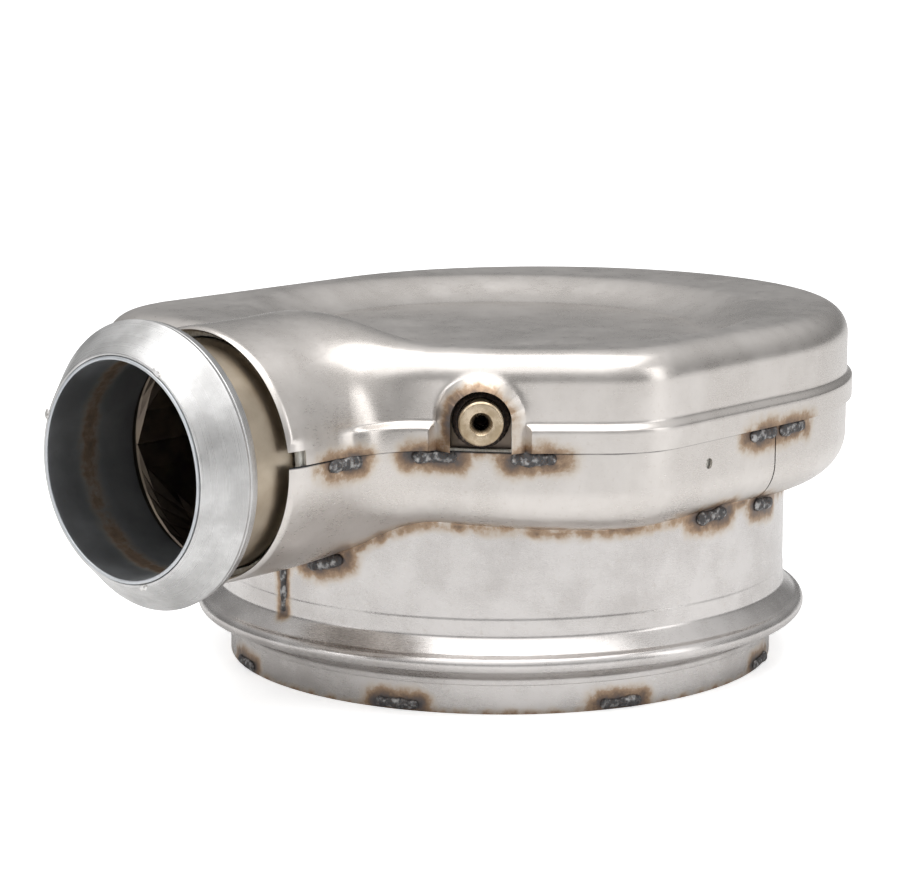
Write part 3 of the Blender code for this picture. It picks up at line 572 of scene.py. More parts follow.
def shell_skin(form, rings, circles, depth, up):
    """All rings of one skin of a shell, from its rim to the can axis."""
    angles = detail_angles(PLAN_POINTS)
    outline = SHIELD_OPEN.outline_at(angles, INLET_Z)
    normals = SHIELD_OPEN.normal(outline)
    skin = []
    for ring in rings:
        guess, levels = ring_points(form, ring, outline, normals, up)
        fixed = form.nearest(guess, levels)
        placed = form.nearest(fixed, levels - depth)
        placed[:, 2] = np.where(np.abs(fixed[:, 2] - ring.z) < 1e-4, ring.z, placed[:, 2])
        skin.append(placed)
    last = skin[-1]
    around = np.arctan2(last[:, 1], last[:, 0])
    for radius, share in circles:
        goal = np.stack([radius * np.cos(around), radius * np.sin(around)], axis=-1)
        starts = np.zeros((len(last), 3))
        starts[:, :2] = last[:, :2] * (1.0 - share) + goal * share
        starts[:, 2] = INLET_Z
        directions = np.tile([0.0, 0.0, 1.0 if up else -1.0], (len(last), 1))
        skin.append(form.along(starts, directions, -depth, reach=SKIN_REACH))
    return skin


# Meshes


def add_object(name, mesh):
    made = bpy.data.objects.new(name, mesh)
    bpy.context.scene.collection.objects.link(made)
    for polygon in mesh.polygons:
        polygon.use_smooth = True
    return made


def set_sharp(piece, degrees):
    piece.data.set_sharp_from_angle(angle=math.radians(degrees))


def mesh_from(name, points, faces):
    mesh = bpy.data.meshes.new(name)
    mesh.from_pydata([tuple(point) for point in points], [], faces)
    work = bmesh.new()
    work.from_mesh(mesh)
    bmesh.ops.recalc_face_normals(work, faces=work.faces)
    work.to_mesh(mesh)
    work.free()
    return mesh


def band(first, second, count):
    """Faces that join two rings of points."""
    pairs = [(k, (k + 1) % count) for k in range(count)]
    return [(first + k, first + n, second + n, second + k) for k, n in pairs]


def close_shell(name, outer, inner, capped):
    """A closed sheet between two skins whose rings have the same number of points."""
    count = len(outer[0])
    points = [tuple(point) for ring in outer + inner for point in ring]
    inner_start = len(outer) * count
    lasts = (inner_start - count, inner_start + (len(inner) - 1) * count)
    faces = []
    for start, rows in ((0, len(outer)), (inner_start, len(inner))):
        for row in range(rows - 1):
            faces += band(start + row * count, start + (row + 1) * count, count)
    faces += band(0, inner_start, count)
    if capped:
        for last in lasts:
            centre = len(points)
            points.append((0.0, 0.0, points[last][2]))
            faces += [(last + k, last + (k + 1) % count, centre) for k in range(count)]
    else:
        faces += band(*lasts, count)
    return add_object(name, mesh_from(name, [(x, y + CAN_Y, z) for x, y, z in points], faces))


def round_axis(axis, count):
    """The direction of an axis, and directions square to it, evenly all round."""
    direction = Vector(axis).normalized()
    side = direction.orthogonal().normalized()
    up = direction.cross(side)
    turns = [2 * math.pi * index / count for index in range(count)]
    return direction, [side * math.cos(turn) + up * math.sin(turn) for turn in turns]


def round_faces(segments, count, closed=True):
    """Faces between the turned copies of a profile, whose two ends are joined if it is closed."""
    kept = count if closed else count - 1
    faces = []
    for index in range(segments):
        faces += band(index * count, (index + 1) % segments * count, count)[:kept]
    return faces


def turned_mesh(name, profile, centre, axis, segments, closed=True):
    direction, outs = round_axis(axis, segments)
    points = [centre + out * radius + direction * station for out in outs for radius, station in profile]
    count = len(profile)
    faces = round_faces(segments, count, closed)
    if not closed:
        for end in (0, count - 1):
            faces.append(tuple(index * count + end for index in range(segments)))
    return mesh_from(name, points, faces)


# Cutters


def cutter(points, faces):
    return add_object("cutter", mesh_from("cutter", points, faces))


def cutter_cylinder(radius, low, high, centre, axis, segments):
    profile = [(radius, low), (radius, high)]
    return add_object("cutter", turned_mesh("cutter", profile, centre, axis, segments, closed=False))


def cutter_box(low, high):
    corners = [(x, y, z) for x in (low[0], high[0]) for y in (low[1], high[1]) for z in (low[2], high[2])]
    faces = [(0, 1, 3, 2), (4, 6, 7, 5), (0, 4, 5, 1), (2, 3, 7, 6), (0, 2, 6, 4), (1, 5, 7, 3)]
    return cutter(corners, faces)


def carve(target, tool, operation="DIFFERENCE"):
    """Apply a Boolean at once and drop the tool."""
    step = target.modifiers.new("cut", "BOOLEAN")
    step.operation = operation
    step.object = tool
    step.solver = "EXACT"
    graph = bpy.context.evaluated_depsgraph_get()
    result = bpy.data.meshes.new_from_object(target.evaluated_get(graph))
    target.modifiers.clear()
    target.data = result
    bpy.data.objects.remove(tool, do_unlink=True)


def front_frame():
    """Frame on the flat front wall at the sensor boss: x along the wall, y up, z outward."""
    along = Vector(FRONT_ALONG)
    out = Vector(FRONT_NORMAL)
    place = CAN_AXIS + along * BOSS_ALONG_WALL + out * FRONT_WALL_DISTANCE
    place.z = BOSS_Z
    return Matrix.Translation(place) @ Matrix((along, Vector(UP), out)).transposed().to_4x4()


def arch_prism(radius, foot, low, high, steps=64):
    """An arch outline on the front wall, drawn out from low to high."""
    place = front_frame()
    turns = [math.pi * k / steps for k in range(steps + 1)]
    row = [(radius * math.cos(turn), radius * math.sin(turn)) for turn in turns]
    row = [(radius, foot)] + row + [(-radius, foot)]
    points = [place @ Vector((x, y, out)) for out in (low, high) for x, y in row]
    count = len(row)
    ends = [tuple(range(count)), tuple(range(count, 2 * count))]
    return cutter(points, ends + band(0, count, count))


# Stamped shells


def shares(steps):
    """Even shares from nought to one."""
    return [step / steps for step in range(steps + 1)]


def corner_rings(wall_z, radius, sign, begin, steps):
    rings = []
    for step in range(1, steps + 1):
        turn = CORNER_SWEEP * step / steps
        inset = radius * (1 - math.cos(turn))
        height = wall_z + sign * radius * math.sin(turn)
        rings.append(Ring(height, inset, begin + CORNER_RUN * step / steps))
    return rings


def upper_rings(fine):
    """Rings of the top shell; the fine ones also round the lip and its step."""
    wall_top = TOP_Z - TOP_CORNER_RADIUS
    lip_top = LIP_Z + LIP_HEIGHT
    step_top = lip_top + LIP_STEP_HEIGHT
    rings = []
    for share in shares(7 if fine else 1):
        rings.append(Ring(LIP_Z + LIP_HEIGHT * share, 0.0, LIP_RUN * share, LIP_PROUD))
    for share in shares(8 if fine else 1)[1:]:
        lip = LIP_PROUD * (1.0 - float(ease(share)))
        rings.append(Ring(lip_top + LIP_STEP_HEIGHT * share, 0.0, LIP_RUN + JOGGLE_RUN * share, lip))
    for share in shares(18 if fine else 2)[1:]:
        height = step_top + (wall_top - step_top) * share
        rings.append(Ring(height, 0.0, WALL_RUN_START + WALL_RUN * share))
    return rings + corner_rings(wall_top, TOP_CORNER_RADIUS, 1.0, CROWN_RUN_START, 16 if fine else 4)


def upper_circles(fine):
    """Circles of the top, from its edge over the ridge to the middle of the recess."""
    slope = RIDGE_RADIUS - RECESS_RADIUS
    circles = [(RIDGE_RADIUS, share) for share in shares(6)[1:]]
    steps = 14 if fine else 4
    circles += [(RIDGE_RADIUS - slope * k / steps, 1.0) for k in range(1, steps + 1)]
    if fine:
        circles += [(RECESS_RADIUS - GROOVE_WIDTH * k / 3, 1.0) for k in range(1, 8)]
    return circles + [(RECESS_RADIUS * share, 1.0) for share in (0.85, 0.6, 0.3)]


def shield_upper():
    outer = shell_skin(SHIELD_ARCHED, upper_rings(True), upper_circles(True), 0.0, True)
    inner = shell_skin(SHIELD_ARCHED, upper_rings(True), upper_circles(False), SHEET, True)
    made = close_shell("upper_shell", outer, inner, True)
    carve(made, arch_prism(ARCH_OPENING_RADIUS, LIP_Z - BOSS_Z - CUT_BELOW, -CUT_IN, CUT_OUT))
    collar_y = CAN_Y + TUNNEL_END_Y
    low = (TUNNEL_RADIUS / 2, collar_y - CUT_AHEAD, LIP_Z - CUT_IN)
    carve(made, cutter_box(low, (CUT_BESIDE, collar_y + COLLAR_NOTCH_DEPTH, LIP_Z + COLLAR_NOTCH_RISE)))
    return made


def blanket_upper():
    """The fibre blanket under the top shell, open where the sensor boss passes."""
    rings = [ring for ring in upper_rings(False) if ring.lip == 0.0]
    rings.insert(0, Ring(LIP_Z - BLANKET_DROP, 0.0, 0.0))
    outer = shell_skin(BLANKET_OUTER, rings, upper_circles(False), 0.0, True)
    inner = shell_skin(BLANKET_INNER, rings, upper_circles(False), 0.0, True)
    made = close_shell("upper_blanket", outer, inner, True)
    carve(made, arch_prism(ARCH_OPENING_RADIUS, -ARCH_OPENING_RADIUS, -2 * CUT_IN, CUT_IN))
    return made


def lower_rings(top_z, steps):
    wall_bottom = BOTTOM_Z + BOTTOM_CORNER_RADIUS
    rings = [Ring(top_z + (wall_bottom - top_z) * share, 0.0, PAN_RUN * share) for share in shares(steps)]
    return rings + corner_rings(wall_bottom, BOTTOM_CORNER_RADIUS, -1.0, PAN_RUN_START, 2 * steps)


def tuck_behind_lip(skin, top):
    """Raise the top edge of the pan behind the lip, on the body but not on the tunnel."""
    height = top - BOTTOM_Z - BOTTOM_CORNER_RADIUS
    for ring in skin[:4]:
        rim = ring[:PLAN_POINTS]
        share = (rim[:, 2] - (BOTTOM_Z + BOTTOM_CORNER_RADIUS)) / height
        rim[:, 2] += SEAM_TUCK * (1.0 - tunnel_share(rim, TUCK_MARGIN)) * np.clip(share * 3 - 2, 0, 1)


def lower_shell(name, rear):
    """Half of the lower pan; its top edge tucks up behind the lip on the body."""
    top = LIP_Z - SEAM_GAP
    circles = [(PAN_OPENING_RADIUS, share) for share in shares(4)[1:]]
    skins = [shell_skin(SHIELD, lower_rings(top, 10), circles, depth, False) for depth in (0.0, SHEET)]
    for skin in skins:
        tuck_behind_lip(skin, top)
    made = close_shell(name, *skins, False)
    opening = cutter_cylinder(CAN_RADIUS + FIT, CAN_CUT_BOTTOM, CAN_CUT_TOP, CAN_AXIS, UP, ROUND_SEGMENTS)
    carve(made, opening)
    split = CAN_Y + LOWER_SPLIT_Y
    half_gap = LOWER_SPLIT_GAP / 2
    begin, end = (split + half_gap, CUT_LENGTH) if rear else (-CUT_LENGTH, split - half_gap)
    carve(made, cutter_box((-CUT_SIDE, begin, 0.0), (CUT_SIDE, end, CUT_HEIGHT)), "INTERSECT")
    if not rear:
        place = CAN_AXIS + Vector((0.0, VENT_HOLE_Y, VENT_HOLE_Z))
        vent = cutter_cylinder(VENT_HOLE_RADIUS, VENT_CUT_START, VENT_CUT_END, place, (1, 0, 0), 40)
        carve(made, vent)
        carve(made, arch_prism(ARCH_RADIUS + SEAM_GAP, top - BOSS_Z, -CUT_IN, CUT_OUT))
    return made


# Turned pieces


def densify(profile, longest):
    """The same profile with points added, so that no side is longer than asked."""
    dense = []
    for k, start in enumerate(profile):
        end = profile[(k + 1) % len(profile)]
        parts = max(1, math.ceil(math.dist(start, end) / longest))
        for share in shares(parts)[:-1]:
            dense.append((start[0] + (end[0] - start[0]) * share, start[1] + (end[1] - start[1]) * share))
    return dense


def rounded_profile(profile, radius, steps=4):
    """A closed profile with each corner rounded, with a point at each end of the rounding."""
    made = []
    count = len(profile)
    for k in range(count):
        corner = Vector(profile[k])
        before = Vector(profile[k - 1]) - corner
        after = Vector(profile[(k + 1) % count]) - corner
        reach = min(radius, before.length * 0.42, after.length * 0.42)
        first = corner + before.normalized() * reach
        last = corner + after.normalized() * reach
        for share in shares(steps):
            bend = corner * 2 * share * (1 - share)
            made.append(tuple(first * (1 - share) ** 2 + bend + last * share ** 2))
    return made


def turned_piece(name, profile, centre, axis, radius, longest=TURNED_LENGTH):
    shape = densify(rounded_profile(profile, radius), longest)
    piece = add_object(name, turned_mesh(name, shape, centre, axis, ROUND_SEGMENTS))
    set_sharp(piece, 40.0)
    return piece


def offset_profile(outer, depth):
    """The same profile set in by the sheet, walked back so that both close a loop."""
    back = []
    for k, (radius, z) in enumerate(outer):
        before = outer[max(k - 1, 0)]
        after = outer[min(k + 1, len(outer) - 1)]
        first = Vector((radius - before[0], z - before[1]))
        second = Vector((after[0] - radius, after[1] - z))
        at_end = not (first.length and second.length)
        heading = first + second if at_end else first.normalized() + second.normalized()
        heading.normalize()
        reach = depth if at_end else depth / max(heading.dot(first.normalized()), 0.5)
        back.append((radius - heading.y * reach, z + heading.x * reach))
    return back[::-1]


def can_piece():
    """The rolled can: skirt, clamp bead, and the faint step of the sheet above the bead."""
    skirt = PILOT_RADIUS + FIT + SHEET
    lower = BEAD_Z - BEAD_HALF_HEIGHT
    upper = BEAD_Z + BEAD_HALF_HEIGHT
    outer = [
        (skirt, CAN_SKIRT_Z),
        (skirt, lower - BEAD_FOOT_DROP),
        (skirt + BEAD_FOOT_OUT, lower + BEAD_FOOT_RISE),
        (BEAD_RADIUS - BEAD_SHOULDER_IN, BEAD_Z - BEAD_SHOULDER_RISE),
    ]
    for degrees in BEAD_CROWN_TURNS:
        turn = math.radians(degrees)
        inset = BEAD_CROWN * (1 - math.cos(turn))
        outer.append((BEAD_RADIUS - inset, BEAD_Z + BEAD_CROWN * math.sin(turn)))
    outer += [
        (BEAD_RADIUS - BEAD_SHOULDER_IN, BEAD_Z + BEAD_SHOULDER_RISE),
        (CAN_RADIUS + BEAD_NECK_OUT, upper - BEAD_NECK_DROP),
        (CAN_RADIUS, upper + BEAD_NECK_RISE),
        (CAN_RADIUS, CAN_STEP_Z - CAN_STEP_HEIGHT),
        (CAN_RADIUS - CAN_STEP_DEPTH, CAN_STEP_Z),
        (CAN_RADIUS - CAN_STEP_DEPTH, CAN_TOP_Z),
    ]
    return turned_piece("dressed_can", outer + offset_profile(outer, SHEET), CAN_AXIS, UP, CAN_ROUNDING)


def tube_piece(name, radius, sheet, start, end, centre, axis, rounding):
    """A plain tube: its outer radius, its sheet, and where it runs along its axis."""
    inner = radius - sheet
    profile = [(radius, start), (radius, end), (inner, end), (inner, start)]
    return turned_piece(name, profile, centre, axis, rounding)


def pilot_piece():
    place = (CAN_AXIS, UP, TUBE_ROUNDING)
    return tube_piece("dressed_pilot", PILOT_RADIUS, SHEET, 0.0, PILOT_TOP_Z, *place)


def liner_piece():
    outer = LINER_BORE_RADIUS + LINER_SHEET
    place = (MOUTH_CENTRE, INWARD, LINER_ROUNDING)
    return tube_piece("dressed_liner", outer, LINER_SHEET, 0.0, LINER_LENGTH, *place)


def pipe_piece():
    start = FLANGE_SEAT_STATION + FIT
    end = MOUTH_DISTANCE + CHAMBER_END_Y - FIT
    place = (MOUTH_CENTRE, INWARD, TUBE_ROUNDING)
    return tube_piece("dressed_pipe", PIPE_RADIUS, PIPE_SHEET, start, end, *place)


def flange_piece():
    """The clamp flange: a cone, a thin turned groove, and the land behind it."""
    bore = LINER_BORE_RADIUS + LINER_SHEET + FIT
    seat = PIPE_RADIUS + FIT
    groove = FLANGE_SHOULDER_STATION
    profile = [
        (bore, FLANGE_NOSE_STATION),
        (FLANGE_NOSE_RADIUS, FLANGE_NOSE_STATION),
        (FLANGE_SHOULDER_RADIUS - FLANGE_EDGE, groove - 0.0008),
        (FLANGE_SHOULDER_RADIUS, groove),
        (FLANGE_SHOULDER_RADIUS - 0.0002, groove + 0.0012),
        (FLANGE_SHOULDER_RADIUS - FLANGE_GROOVE_DEPTH, groove + FLANGE_GROOVE_START),
        (FLANGE_SHOULDER_RADIUS - FLANGE_GROOVE_DEPTH, groove + FLANGE_GROOVE_END),
        (FLANGE_SHOULDER_RADIUS - 0.0004, groove + 0.0028),
        (FLANGE_BACK_RADIUS, FLANGE_BACK_STATION - FLANGE_EDGE),
        (FLANGE_BACK_RADIUS - FLANGE_EDGE, FLANGE_BACK_STATION),
        (seat, FLANGE_BACK_STATION),
        (seat, FLANGE_SEAT_STATION),
        (bore, FLANGE_SEAT_STATION),
    ]
    return turned_piece("dressed_flange", profile, MOUTH_CENTRE, INWARD, FLANGE_ROUNDING, TURNED_FINE_LENGTH)


def boss_piece():
    foot = -CHAMBER_INSET + FIT
    profile = [
        (BOSS_BORE_RADIUS, foot),
        (BOSS_RADIUS, foot),
        (BOSS_RADIUS, BOSS_PROUD - BOSS_EDGE),
        (BOSS_RADIUS - BOSS_EDGE, BOSS_PROUD),
        (BOSS_MOUTH_RADIUS, BOSS_PROUD),
        (BOSS_BORE_RADIUS, BOSS_PROUD - BOSS_MOUTH_DEPTH),
    ]
    centre = front_frame().translation
    return turned_piece("dressed_boss", profile, centre, FRONT_NORMAL, BOSS_ROUNDING, TURNED_FINE_LENGTH)


# Welds


def ripple(run):
    """Height of the rounded waves that a weld leaves, from nought to one."""
    phase = (run / RIPPLE_LENGTH) % 1.0
    return math.sqrt(max(0.0, 1.0 - (2.0 * phase - 1.0) ** 2))


def interpolated(places, run, path):
    """Points at given places along a path whose own points lie at run."""
    return np.stack([np.interp(places, run, path[:, k]) for k in range(3)], axis=-1)


def run_along(path):
    steps = np.linalg.norm(np.diff(path, axis=0), axis=1)
    return np.concatenate([[0.0], np.cumsum(steps)])


def bead_size(place, run, length, width, height):
    """Half the width and the height of a bead: round ends, waves, and an uneven run."""
    from_end = min(run, length - run)
    cap = math.sqrt(max(0.02, 1.0 - max(0.0, 1.0 - from_end / (width * 0.55)) ** 2))
    wander = noise.noise(place * WANDER_SCALE + WANDER_PLACE)
    wide = width / 2 * cap * (1.0 + 0.42 * wander + 0.08 * ripple(run))
    return wide, height * cap * (0.78 + 0.26 * ripple(run) + 0.34 * wander)


def lumpy_bead(name, path, outward, width, height, sides=14):
    """A bead of weld along a path, flat on its back."""
    path = np.array([tuple(place) for place in path])
    given = np.array([tuple(out) for out in outward])
    ends = run_along(path)
    count = max(8, int(ends[-1] / BEAD_STEP))
    run = np.linspace(0.0, ends[-1], count)
    points = [Vector(place) for place in interpolated(run, ends, path)]
    outs = interpolated(np.linspace(0.0, 1.0, count), np.linspace(0.0, 1.0, len(given)), given)
    verts = []
    for index, place in enumerate(points):
        along = (points[min(index + 1, count - 1)] - points[max(index - 1, 0)]).normalized()
        out = Vector(outs[index]).normalized()
        across = along.cross(out).normalized()
        wide, high = bead_size(place, run[index], run[-1], width, height)
        for k in range(sides):
            turn = math.pi * k / (sides - 1)
            lump = 1.0 + 0.10 * noise.noise(place * LUMP_SCALE + Vector((k * 0.6, 0.0, 0.0)))
            verts.append(place + across * math.cos(turn) * wide + out * math.sin(turn) * high * lump)
    faces = [tuple(range(sides)), tuple(range((count - 1) * sides, count * sides))]
    for index in range(count - 1):
        faces += band(index * sides, (index + 1) * sides, sides)
    piece = add_object(name, mesh_from(name, verts, faces))
    set_sharp(piece, 60.0)
    return piece


def lumpy_ring(name, profile, centre, axis, amount, segments=240):
    """A weld laid all round: a turned profile whose crown rises and falls in waves."""
    direction, outs = round_axis(axis, segments)
    shape = densify(rounded_profile(profile, RING_ROUNDING), RING_LENGTH)
    inner = min(radius for radius, _ in shape)
    verts = []
    for index, out in enumerate(outs):
        wave = ripple(2 * math.pi * index / segments * inner)
        for radius, station in shape:
            place = centre + out * radius + direction * station
            grow = min(1.0, (radius - inner) / 0.0012)
            lump = noise.noise(place * RING_LUMP_SCALE) * 0.6 + wave * 0.5 - 0.35
            verts.append(place + out * lump * amount * grow)
    return add_object(name, mesh_from(name, verts, round_faces(segments, len(shape))))


def stations_on_wall(degrees, length, z, level):
    """Points along the wall, centred on a direction from the can axis and spread by true length."""
    angles = np.radians(degrees + np.linspace(-25.0, 25.0, 501))
    wall = SHIELD_OPEN.outline_at(angles, z, level)
    run = run_along(wall[:, :2])
    return interpolated(run[250] + length * np.linspace(-0.5, 0.5, 15), run, wall)


def outward(turn):
    """Direction out from the can axis."""
    return Vector((math.cos(turn), math.sin(turn), 0.0))


def at_height(place, z):
    return Vector((place.x, place.y, z))


def round_the_can(degrees, length, radius):
    """Directions out from the can axis along an arc of the given length."""
    turns = math.radians(degrees) + length / radius * np.linspace(-0.5, 0.5, 15)
    return [outward(turn) for turn in turns]


def under_the_pan(outs, radius):
    """Height of the underside of the shield above points round the can."""
    starts = np.array([(out.x * radius, out.y * radius, INLET_Z) for out in outs])
    down = np.tile([0.0, 0.0, -1.0], (len(outs), 1))
    return SHIELD_OPEN.along(starts, down, 0.0, reach=SKIN_REACH)[:, 2]


def seam_stitches():
    z = LIP_Z - STITCH_WIDTH / 2 - WELD_GAP
    for index, degrees in enumerate(STITCH_ANGLES):
        wall = stations_on_wall(degrees, STITCH_LENGTH, z, WELD_GAP)
        path = [CAN_AXIS + Vector(point) for point in wall]
        outs = [Vector((n[0], n[1], 0.0)).normalized() for n in SHIELD_OPEN.normal(wall)]
        piece = lumpy_bead(f"seam_bead_{index + 1:02d}", path, outs, STITCH_WIDTH, STITCH_HEIGHT)
        yield piece, f"seam_stitch_{index + 1:02d}", path, STITCH_HALO


def can_stitches():
    drop = STITCH_WIDTH / 2
    for index, degrees in enumerate(CAN_WELD_ANGLES):
        outs = round_the_can(degrees, STITCH_LENGTH, CAN_RADIUS)
        heights = under_the_pan(outs, CAN_RADIUS)
        path = [at_height(CAN_AXIS + out * (CAN_RADIUS + WELD_GAP), height - drop - WELD_GAP * 2)
                for out, height in zip(outs, heights)]
        piece = lumpy_bead(f"can_bead_{index + 1}", path, outs, STITCH_WIDTH, STITCH_HEIGHT)
        yield piece, f"can_weld_{index + 1}", path, STITCH_HALO


def rim_stitches():
    z = STITCH_WIDTH / 2 + WELD_GAP
    for index in range(RIM_WELD_COUNT):
        degrees = RIM_WELD_START + 360.0 / RIM_WELD_COUNT * index
        outs = round_the_can(degrees, RIM_WELD_LENGTH, PILOT_RADIUS)
        path = [at_height(CAN_AXIS + out * (PILOT_RADIUS + WELD_GAP), z) for out in outs]
        piece = lumpy_bead(f"rim_bead_{index + 1}", path, outs, RIM_WELD_WIDTH, RIM_WELD_HEIGHT)
        yield piece, f"rim_weld_{index + 1}", path, RIM_HALO


def can_seam():
    """The long upright weld of the rolled can, between the bead and the shield."""
    out = outward(math.radians(CAN_SEAM_ANGLE))
    low = BEAD_Z + BEAD_HALF_HEIGHT + 0.004
    high = under_the_pan([out], CAN_RADIUS + 0.002)[0] - 0.001
    foot = CAN_AXIS + out * (CAN_RADIUS - CAN_STEP_DEPTH + 0.0001)
    path = [at_height(foot, low + (high - low) * share) for share in np.linspace(0.0, 1.0, 12)]
    piece = lumpy_bead("can_seam_bead", path, [out] * len(path), CAN_SEAM_WIDTH, CAN_SEAM_HEIGHT)
    return piece, "can_seam_weld", path, SEAM_HALO


def liner_tacks():
    reach = LINER_BORE_RADIUS + LINER_SHEET + FIT + LINER_TACK_SIZE / 2
    height = FLANGE_NOSE_STATION - WELD_GAP
    for index, degrees in enumerate(LINER_TACK_ANGLES):
        turn = math.radians(degrees)
        out = Vector((math.cos(turn), 0.0, math.sin(turn)))
        along = Vector((-math.sin(turn), 0.0, math.cos(turn)))
        place = MOUTH_CENTRE + out * reach + Vector((0, height, 0))
        path = [place + along * LINER_TACK_SIZE * k for k in (-0.85, -0.4, 0.0, 0.4, 0.85)]
        outs = [Vector((0.0, -1.0, 0.0))] * len(path)
        piece = lumpy_bead(f"liner_bead_{index + 1}", path, outs, LINER_TACK_SIZE, height)
        yield piece, f"liner_tack_{index + 1}", path, TACK_HALO


def circle_places(centre, axis, radius, station, count):
    direction, outs = round_axis(axis, count)
    return [centre + out * radius + direction * station for out in outs]


def flange_ring():
    seat = PIPE_RADIUS + FIT
    start = FLANGE_BACK_STATION + WELD_GAP
    profile = [
        (seat, start),
        (seat + FLANGE_WELD_HEIGHT, start),
        (seat + FLANGE_WELD_HEIGHT * 0.8, start + FLANGE_WELD_LENGTH * 0.45),
        (seat + 0.0006, start + FLANGE_WELD_LENGTH),
        (seat, start + FLANGE_WELD_LENGTH),
    ]
    piece = lumpy_ring("flange_ring", profile, MOUTH_CENTRE, INWARD, FLANGE_WELD_LUMPS, 480)
    path = circle_places(MOUTH_CENTRE, INWARD, PIPE_RADIUS, start + 0.002, 80)
    return piece, "flange_weld", path, FLANGE_HALO


def boss_ring():
    foot = -CHAMBER_INSET + FIT
    inner = BOSS_RADIUS + WELD_GAP
    profile = [
        (inner, foot),
        (inner + BOSS_WELD_WIDTH, foot),
        (inner + BOSS_WELD_WIDTH * 0.75, foot + BOSS_WELD_HEIGHT * 0.6),
        (inner, foot + BOSS_WELD_HEIGHT),
    ]
    centre = front_frame().translation
    piece = lumpy_ring("boss_ring", profile, centre, FRONT_NORMAL, BOSS_WELD_LUMPS)
    path = circle_places(centre, FRONT_NORMAL, inner + BOSS_WELD_WIDTH, 0.0, 24)
    return piece, "boss_weld", path, BOSS_HALO


# Marks of heat and painted shade, kept on the points of the meshes


def mesh_points(piece):
    flat = np.empty(len(piece.data.vertices) * 3)
    piece.data.vertices.foreach_get("co", flat)
    return flat.reshape(-1, 3)


def set_field(piece, name, values):
    field = piece.data.attributes.new(name, "FLOAT", "POINT")
    field.data.foreach_set("value", np.asarray(values, dtype=np.float32))
    piece.data.update()


def mark_heat(piece, sources):
    """How strongly each point was coloured by the welds, from the distance to them."""
    points = mesh_points(piece)
    heat = np.zeros(len(points))
    for places, halo, strength in sources:
        nearest = np.full(len(points), 1.0)
        for place in places:
            nearest = np.minimum(nearest, np.linalg.norm(points - np.array(tuple(place)), axis=1))
        heat = np.maximum(heat, strength * np.exp(-(nearest / halo) ** HALO_SHAPE))
    set_field(piece, "weld_tint", heat)


def can_stains():
    """Brown stains round the can: under the shield and on the bottom edge."""
    outs = [outward(turn) for turn in np.radians(np.arange(0.0, 360.0, 2.0))]
    heights = under_the_pan(outs, CAN_RADIUS)
    under = [at_height(CAN_AXIS + out * CAN_RADIUS, height - 0.001) for out, height in zip(outs, heights)]
    bottom = [CAN_AXIS + out * PILOT_RADIUS for out in outs]
    return [(under, UNDER_HALO, UNDER_TINT), (bottom, BOTTOM_HALO, BOTTOM_TINT)]


# Materials


class Nodes:
    """Adds and links the nodes of one tree."""

    def __init__(self, tree, coordinates):
        self.tree = tree
        self.coords = self.node("ShaderNodeTexCoord").outputs[coordinates]

    def node(self, kind, **settings):
        made = self.tree.nodes.new(kind)
        for key, value in settings.items():
            setattr(made, key, value)
        return made

    def put(self, value, socket):
        """Give a socket a number, a colour or a link."""
        if isinstance(value, (int, float)):
            socket.default_value = value
        elif isinstance(value, tuple):
            socket.default_value = (*value, 1.0)
        else:
            self.tree.links.new(value, socket)

    def fill(self, node, **values):
        """Fill sockets by name, with an underscore for a space."""
        for name, value in values.items():
            self.put(value, node.inputs[name.replace("_", " ")])

    def split(self, vector):
        made = self.node("ShaderNodeSeparateXYZ")
        self.fill(made, Vector=vector)
        return made.outputs

    def stretched(self, scale):
        made = self.node("ShaderNodeMapping")
        made.inputs["Scale"].default_value = scale
        self.fill(made, Vector=self.coords)
        return made.outputs["Vector"]

    def noise(self, scale, detail=3.0, vector=None, roughness=0.55):
        made = self.node("ShaderNodeTexNoise")
        self.fill(made, Scale=scale, Detail=detail, Roughness=roughness, Vector=vector or self.coords)
        return made.outputs["Fac"]

    def math(self, operation, *values, clamp=False):
        made = self.node("ShaderNodeMath", operation=operation, use_clamp=clamp)
        for socket, value in zip(made.inputs, values):
            self.put(value, socket)
        return made.outputs["Value"]

    def add(self, first, second, clamp=False):
        return self.math("ADD", first, second, clamp=clamp)

    def minus(self, first, second):
        return self.math("SUBTRACT", first, second)

    def times(self, first, second, clamp=False):
        return self.math("MULTIPLY", first, second, clamp=clamp)

    def spread(self, value, low, high, to_low=0.0, to_high=1.0, kind="SMOOTHSTEP"):
        made = self.node("ShaderNodeMapRange", interpolation_type=kind)
        self.fill(made, Value=value, From_Min=low, From_Max=high, To_Min=to_low, To_Max=to_high)
        return made.outputs["Result"]

    def ramp(self, value, stops):
        made = self.node("ShaderNodeValToRGB")
        ramp = made.color_ramp
        while len(ramp.elements) < len(stops):
            ramp.elements.new(0.5)
        for element, (place, colour) in zip(ramp.elements, stops):
            element.position = place
            element.color = (*colour, 1.0)
        self.fill(made, Fac=value)
        return made.outputs["Color"]

    def mix(self, share, first, second):
        made = self.node("ShaderNodeMix", data_type="RGBA")
        factor = [socket for socket in made.inputs if socket.name == "Factor"][0]
        colours = [socket for socket in made.inputs if socket.type == "RGBA"]
        for value, socket in zip((share, first, second), (factor, *colours)):
            self.put(value, socket)
        return [socket for socket in made.outputs if socket.type == "RGBA"][0]


